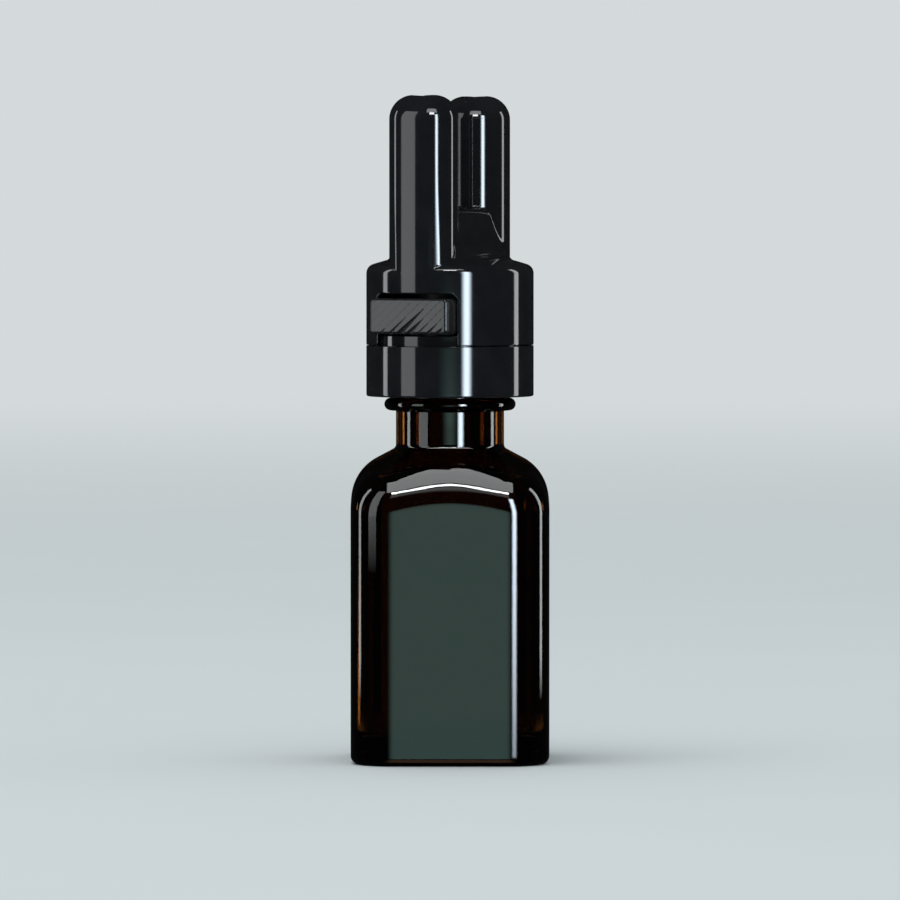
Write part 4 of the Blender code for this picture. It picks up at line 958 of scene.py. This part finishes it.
def canopy_place(outer_reach, inner_reach, outer, inner):
    """Places on a card over the bottle, seen in its shoulder.

    outer and inner are the card's edges where it would lie just over the cap's side, as pairs of
    a share of its half width and a y. From there each point moves straight away from the place on
    the shoulder that mirrors it, up to the canopy's height.
    """
    def place(a, b):
        across = 2 * a - 1
        x = across * (outer_reach + (inner_reach - outer_reach) * b)
        y = ((1 - b) * np.interp(abs(across), *zip(*outer))
             + b * np.interp(abs(across), *zip(*inner)))
        z = LAYOUT_HEIGHT + LAYOUT_SLOPE * (math.hypot(x, y) - CAP_REACH)
        mirror = np.array((MIRROR_REACH * across, MIRROR_Y + MIRROR_DEPTH * b,
                           MIRROR_Z + MIRROR_RISE * b))
        lift = (CANOPY_HEIGHT - mirror[2]) / (z - mirror[2])
        return tuple((mirror + (np.array((x, y, z)) - mirror) * lift).tolist())
    return place


COOL = (0.95, 0.99, 1.0)
PALE_BLUE = (0.74, 0.87, 1.0)
REAR_BLUE = (0.6, 0.75, 1.0)
SEA_GREEN = (0.58, 1.0, 0.9)
WARM = (1.0, 0.56, 0.33)
SURROUND_GLOW = 0.012
SURROUND_RADIUS = 4.0
REAR_AZIMUTH = 172

# The first mirror that a ray meets sees a card at a depth of 1, the next at 2.
FIRST_MIRROR_DEPTH = 1.5
LEAST_SOFT = 1e-3
LEAST_MARGIN = 0.005
FINE_STEPS = 48

CAP_REACH = 0.0122
LAYOUT_HEIGHT = 0.0645
LAYOUT_SLOPE = 0.1
# The band of the shoulder that mirrors the cards: from (y, z) to a little further up the slope.
MIRROR_REACH = 0.009
MIRROR_Y = -0.0138
MIRROR_Z = 0.0403
MIRROR_DEPTH = 0.0012
MIRROR_RISE = 0.002
CANOPY_HEIGHT = 0.1125
SHOULDER = (0.0, MIRROR_Y, 0.041)
PANEL_OUTER = ((0, -0.0371), (0.125, -0.0395), (0.23, -0.041), (0.345, -0.044), (0.46, -0.043),
               (0.77, -0.040), (1, -0.036))
PANEL_INNER = ((0, -0.0085), (0.114, -0.0106), (0.342, -0.014), (0.44, -0.0159), (0.56, -0.018),
               (0.607, -0.0182), (0.753, -0.0169), (1, -0.0133))
STRIP_OUTER = ((0, -0.046), (0.15, -0.0475), (0.28, -0.052), (0.42, -0.0545), (0.6, -0.053),
               (1, -0.0485))
STRIP_INNER = ((0, -0.0371), (0.16, -0.0396), (0.3, -0.0413), (0.45, -0.044), (0.6, -0.0425),
               (1, -0.039))
FADE_OUTER = ((0, -0.08), (1, -0.07))
FADE_GAP = 0.0004
FADE_INNER = tuple((share, y - FADE_GAP) for share, y in STRIP_OUTER)

# Radii of the round walls that the upright cards stand on.
WALL = 0.15
RIGHT_WALL = 0.4
FRONT_WALL = 1.5
REAR_WALL = 0.3
TOP_Y = -0.06
HEEL_Z = -0.0005
UNSEEN_IN_GLASS = ("transmission",)
UNSEEN_IN_MIRRORS = ("glossy",)

card("left_edge_strip", upright_place(-102, -92.3, 0.0, 0.165, WALL), COOL, 4.3,
     side_soft=0.15, unseen_by=UNSEEN_IN_GLASS)
card("left_panel", upright_place(-68.8, -46.6, 0.021, 0.182, WALL), COOL, 2.3,
     side_soft=0.06, low_soft=0.08, unseen_by=UNSEEN_IN_GLASS)
card("front_panel", upright_place(19, -19, 0.06, -0.3, FRONT_WALL), SEA_GREEN, 1.3,
     side_soft=0.5, low_soft=0.24, unseen_by=UNSEEN_IN_GLASS)
card("right_strip", upright_place(14, 31, -0.06, 0.25, RIGHT_WALL), PALE_BLUE, 29.0,
     side_soft=0.45, low_soft=0.3, unseen_by=UNSEEN_IN_GLASS)
card("right_edge_strip", upright_place(95.5, 105.8, 0.0, 0.165, WALL), COOL, 5.5,
     side_soft=0.15, unseen_by=UNSEEN_IN_GLASS)
card("shoulder_panel", canopy_place(0.0287, 0.0219, PANEL_OUTER, PANEL_INNER), COOL, 4.4,
     side_soft=0.02, low_soft=0.02, once=True, steps=FINE_STEPS, least_from=SHOULDER)
card("shoulder_strip", canopy_place(0.0237, 0.0222, STRIP_OUTER, STRIP_INNER), COOL, 36.0,
     side_soft=0.03, low_soft=0.1, once=True, steps=FINE_STEPS, least_from=SHOULDER)
card("shoulder_fade", canopy_place(0.035, 0.0245, FADE_OUTER, FADE_INNER), COOL, 1.6,
     side_soft=0.1, low_soft=1.0, once=True, steps=FINE_STEPS, least_from=SHOULDER)
card("top_panel", slab_place(0.025, (TOP_Y, 0.125), (TOP_Y, 0.155)), COOL, 4.6,
     side_soft=0.04, low_soft=0.04, once=True)
card("top_strip", slab_place(0.011, (TOP_Y, 0.113), (TOP_Y, 0.125)), COOL, 24.0,
     side_soft=0.1, low_soft=0.1, once=True)
for side_name, start, end in (("left", -162, -152), ("right", 152, 162)):
    card(side_name + "_rear_glow", upright_place(start, end, 0.031, 0.06, REAR_WALL), REAR_BLUE,
         22.0, side_soft=0.3, low_soft=0.1, unseen_by=UNSEEN_IN_MIRRORS)
card("left_rear_streak", upright_place(-127, -146, 0.02, -0.03, REAR_WALL), COOL, 5.0,
     side_soft=0.3, low_soft=0.6, unseen_by=UNSEEN_IN_MIRRORS)
card("heel_glow", slab_place(0.0105, (-0.0146, HEEL_Z), (-0.019, HEEL_Z)), WARM, 0.65,
     side_soft=0.1, low_soft=0.1, unseen_by=UNSEEN_IN_GLASS, once=True)
card("dark_surround", dome_place(-REAR_AZIMUTH, REAR_AZIMUTH, -90, 90, SURROUND_RADIUS), COOL,
     SURROUND_GLOW, side_soft=0.0, low_soft=0.0)
card("dark_rear", dome_place(REAR_AZIMUTH, 360 - REAR_AZIMUTH, -90, 90, SURROUND_RADIUS), COOL,
     SURROUND_GLOW, side_soft=0.0, low_soft=0.0, unseen_by=UNSEEN_IN_GLASS)

BACKGROUND = (0.66, 0.70, 0.71)
FLOOR_COLOUR = (0.70, 0.74, 0.75)
FLOOR_MOTTLE = 0.985
FLOOR_MOTTLE_SCALE = 14
FLOOR_FADE = (0.25, 2.0)
FLOOR_IN_GLASS = (0.06, 0.12)
FLOOR_REACH = 3.0
FLOOR_STEPS = 96


def make_floor():
    """A pale floor that runs into the background's own colour far from the bottle."""
    material, nodes, links = new_material("pale_floor")
    nodes.remove(nodes["Principled BSDF"])
    matt = nodes.new("ShaderNodeBsdfDiffuse")
    mottle = object_noise(nodes, links, FLOOR_MOTTLE_SCALE, 3)
    darker = tuple(c * FLOOR_MOTTLE for c in FLOOR_COLOUR)
    links.new(colour_ramp(nodes, links, mottle, darker, FLOOR_COLOUR), matt.inputs["Color"])
    far = nodes.new("ShaderNodeEmission")
    far.inputs["Color"].default_value = (*BACKGROUND, 1)
    distance = nodes.new("ShaderNodeVectorMath")
    distance.operation = "LENGTH"
    links.new(nodes["place"].outputs["Object"], distance.inputs[0])
    fade = soft_step_node(nodes, links, distance.outputs["Value"], *FLOOR_FADE)
    floor = mix_shaders(nodes, links, fade, matt.outputs["BSDF"], far.outputs["Emission"])

    # The glass sees the dark surround and the rear cards in place of all but the near floor.
    beyond = soft_step_node(nodes, links, distance.outputs["Value"], *FLOOR_IN_GLASS)
    through_glass = nodes.new("ShaderNodeLightPath").outputs["Is Transmission Ray"]
    unseen = math_node(nodes, links, "MULTIPLY", beyond, through_glass)
    clear = nodes.new("ShaderNodeBsdfTransparent")
    links.new(mix_shaders(nodes, links, unseen, floor, clear.outputs["BSDF"]),
              nodes["Material Output"].inputs["Surface"])
    turns = [2 * math.pi * k / FLOOR_STEPS for k in range(FLOOR_STEPS)]
    ring = [(FLOOR_REACH * math.cos(turn), FLOOR_REACH * math.sin(turn), 0) for turn in turns]
    stage_mesh("pale_floor", ring, [list(range(FLOOR_STEPS))], material, UNSEEN_IN_MIRRORS)


make_floor()

LAMP_SIZE = 0.7
LAMP_WATTS = 3.3
LAMP_PLACE = (-0.25, -0.2, 1.15)
LAMP_TURN = (-0.17, -0.21, 0)

# The photo's viewpoint: a long lens a metre off, two degrees above level.
SENSOR_WIDTH = 36
FOCAL_LENGTH = 299.2
CAMERA_PLACE = (0, -1.09, 0.0831)
CAMERA_DIP = math.radians(1.99)
CAMERA_CLIP = (0.05, 20)

world = bpy.data.worlds.new("studio")
world.use_nodes = True
world.node_tree.nodes["Background"].inputs["Color"].default_value = (*BACKGROUND, 1)
bpy.context.scene.world = world

lamp = bpy.data.lights.new("overhead", "AREA")
lamp.shape = "DISK"
lamp.size = LAMP_SIZE
lamp.energy = LAMP_WATTS
lamp_object = bpy.data.objects.new("overhead", lamp)
lamp_object.location = LAMP_PLACE
lamp_object.rotation_euler = LAMP_TURN
lamp_object.visible_glossy = False
lamp_object.visible_transmission = False
bpy.context.scene.collection.objects.link(lamp_object)

camera = bpy.data.cameras.new("camera")
camera.lens = FOCAL_LENGTH
camera.sensor_width = SENSOR_WIDTH
camera.clip_start, camera.clip_end = CAMERA_CLIP
camera_object = bpy.data.objects.new("camera", camera)
camera_object.location = CAMERA_PLACE
camera_object.rotation_euler = (math.pi / 2 - CAMERA_DIP, 0, 0)
bpy.context.scene.collection.objects.link(camera_object)
bpy.context.scene.camera = camera_object
bpy.context.scene.view_settings.view_transform = "Standard"
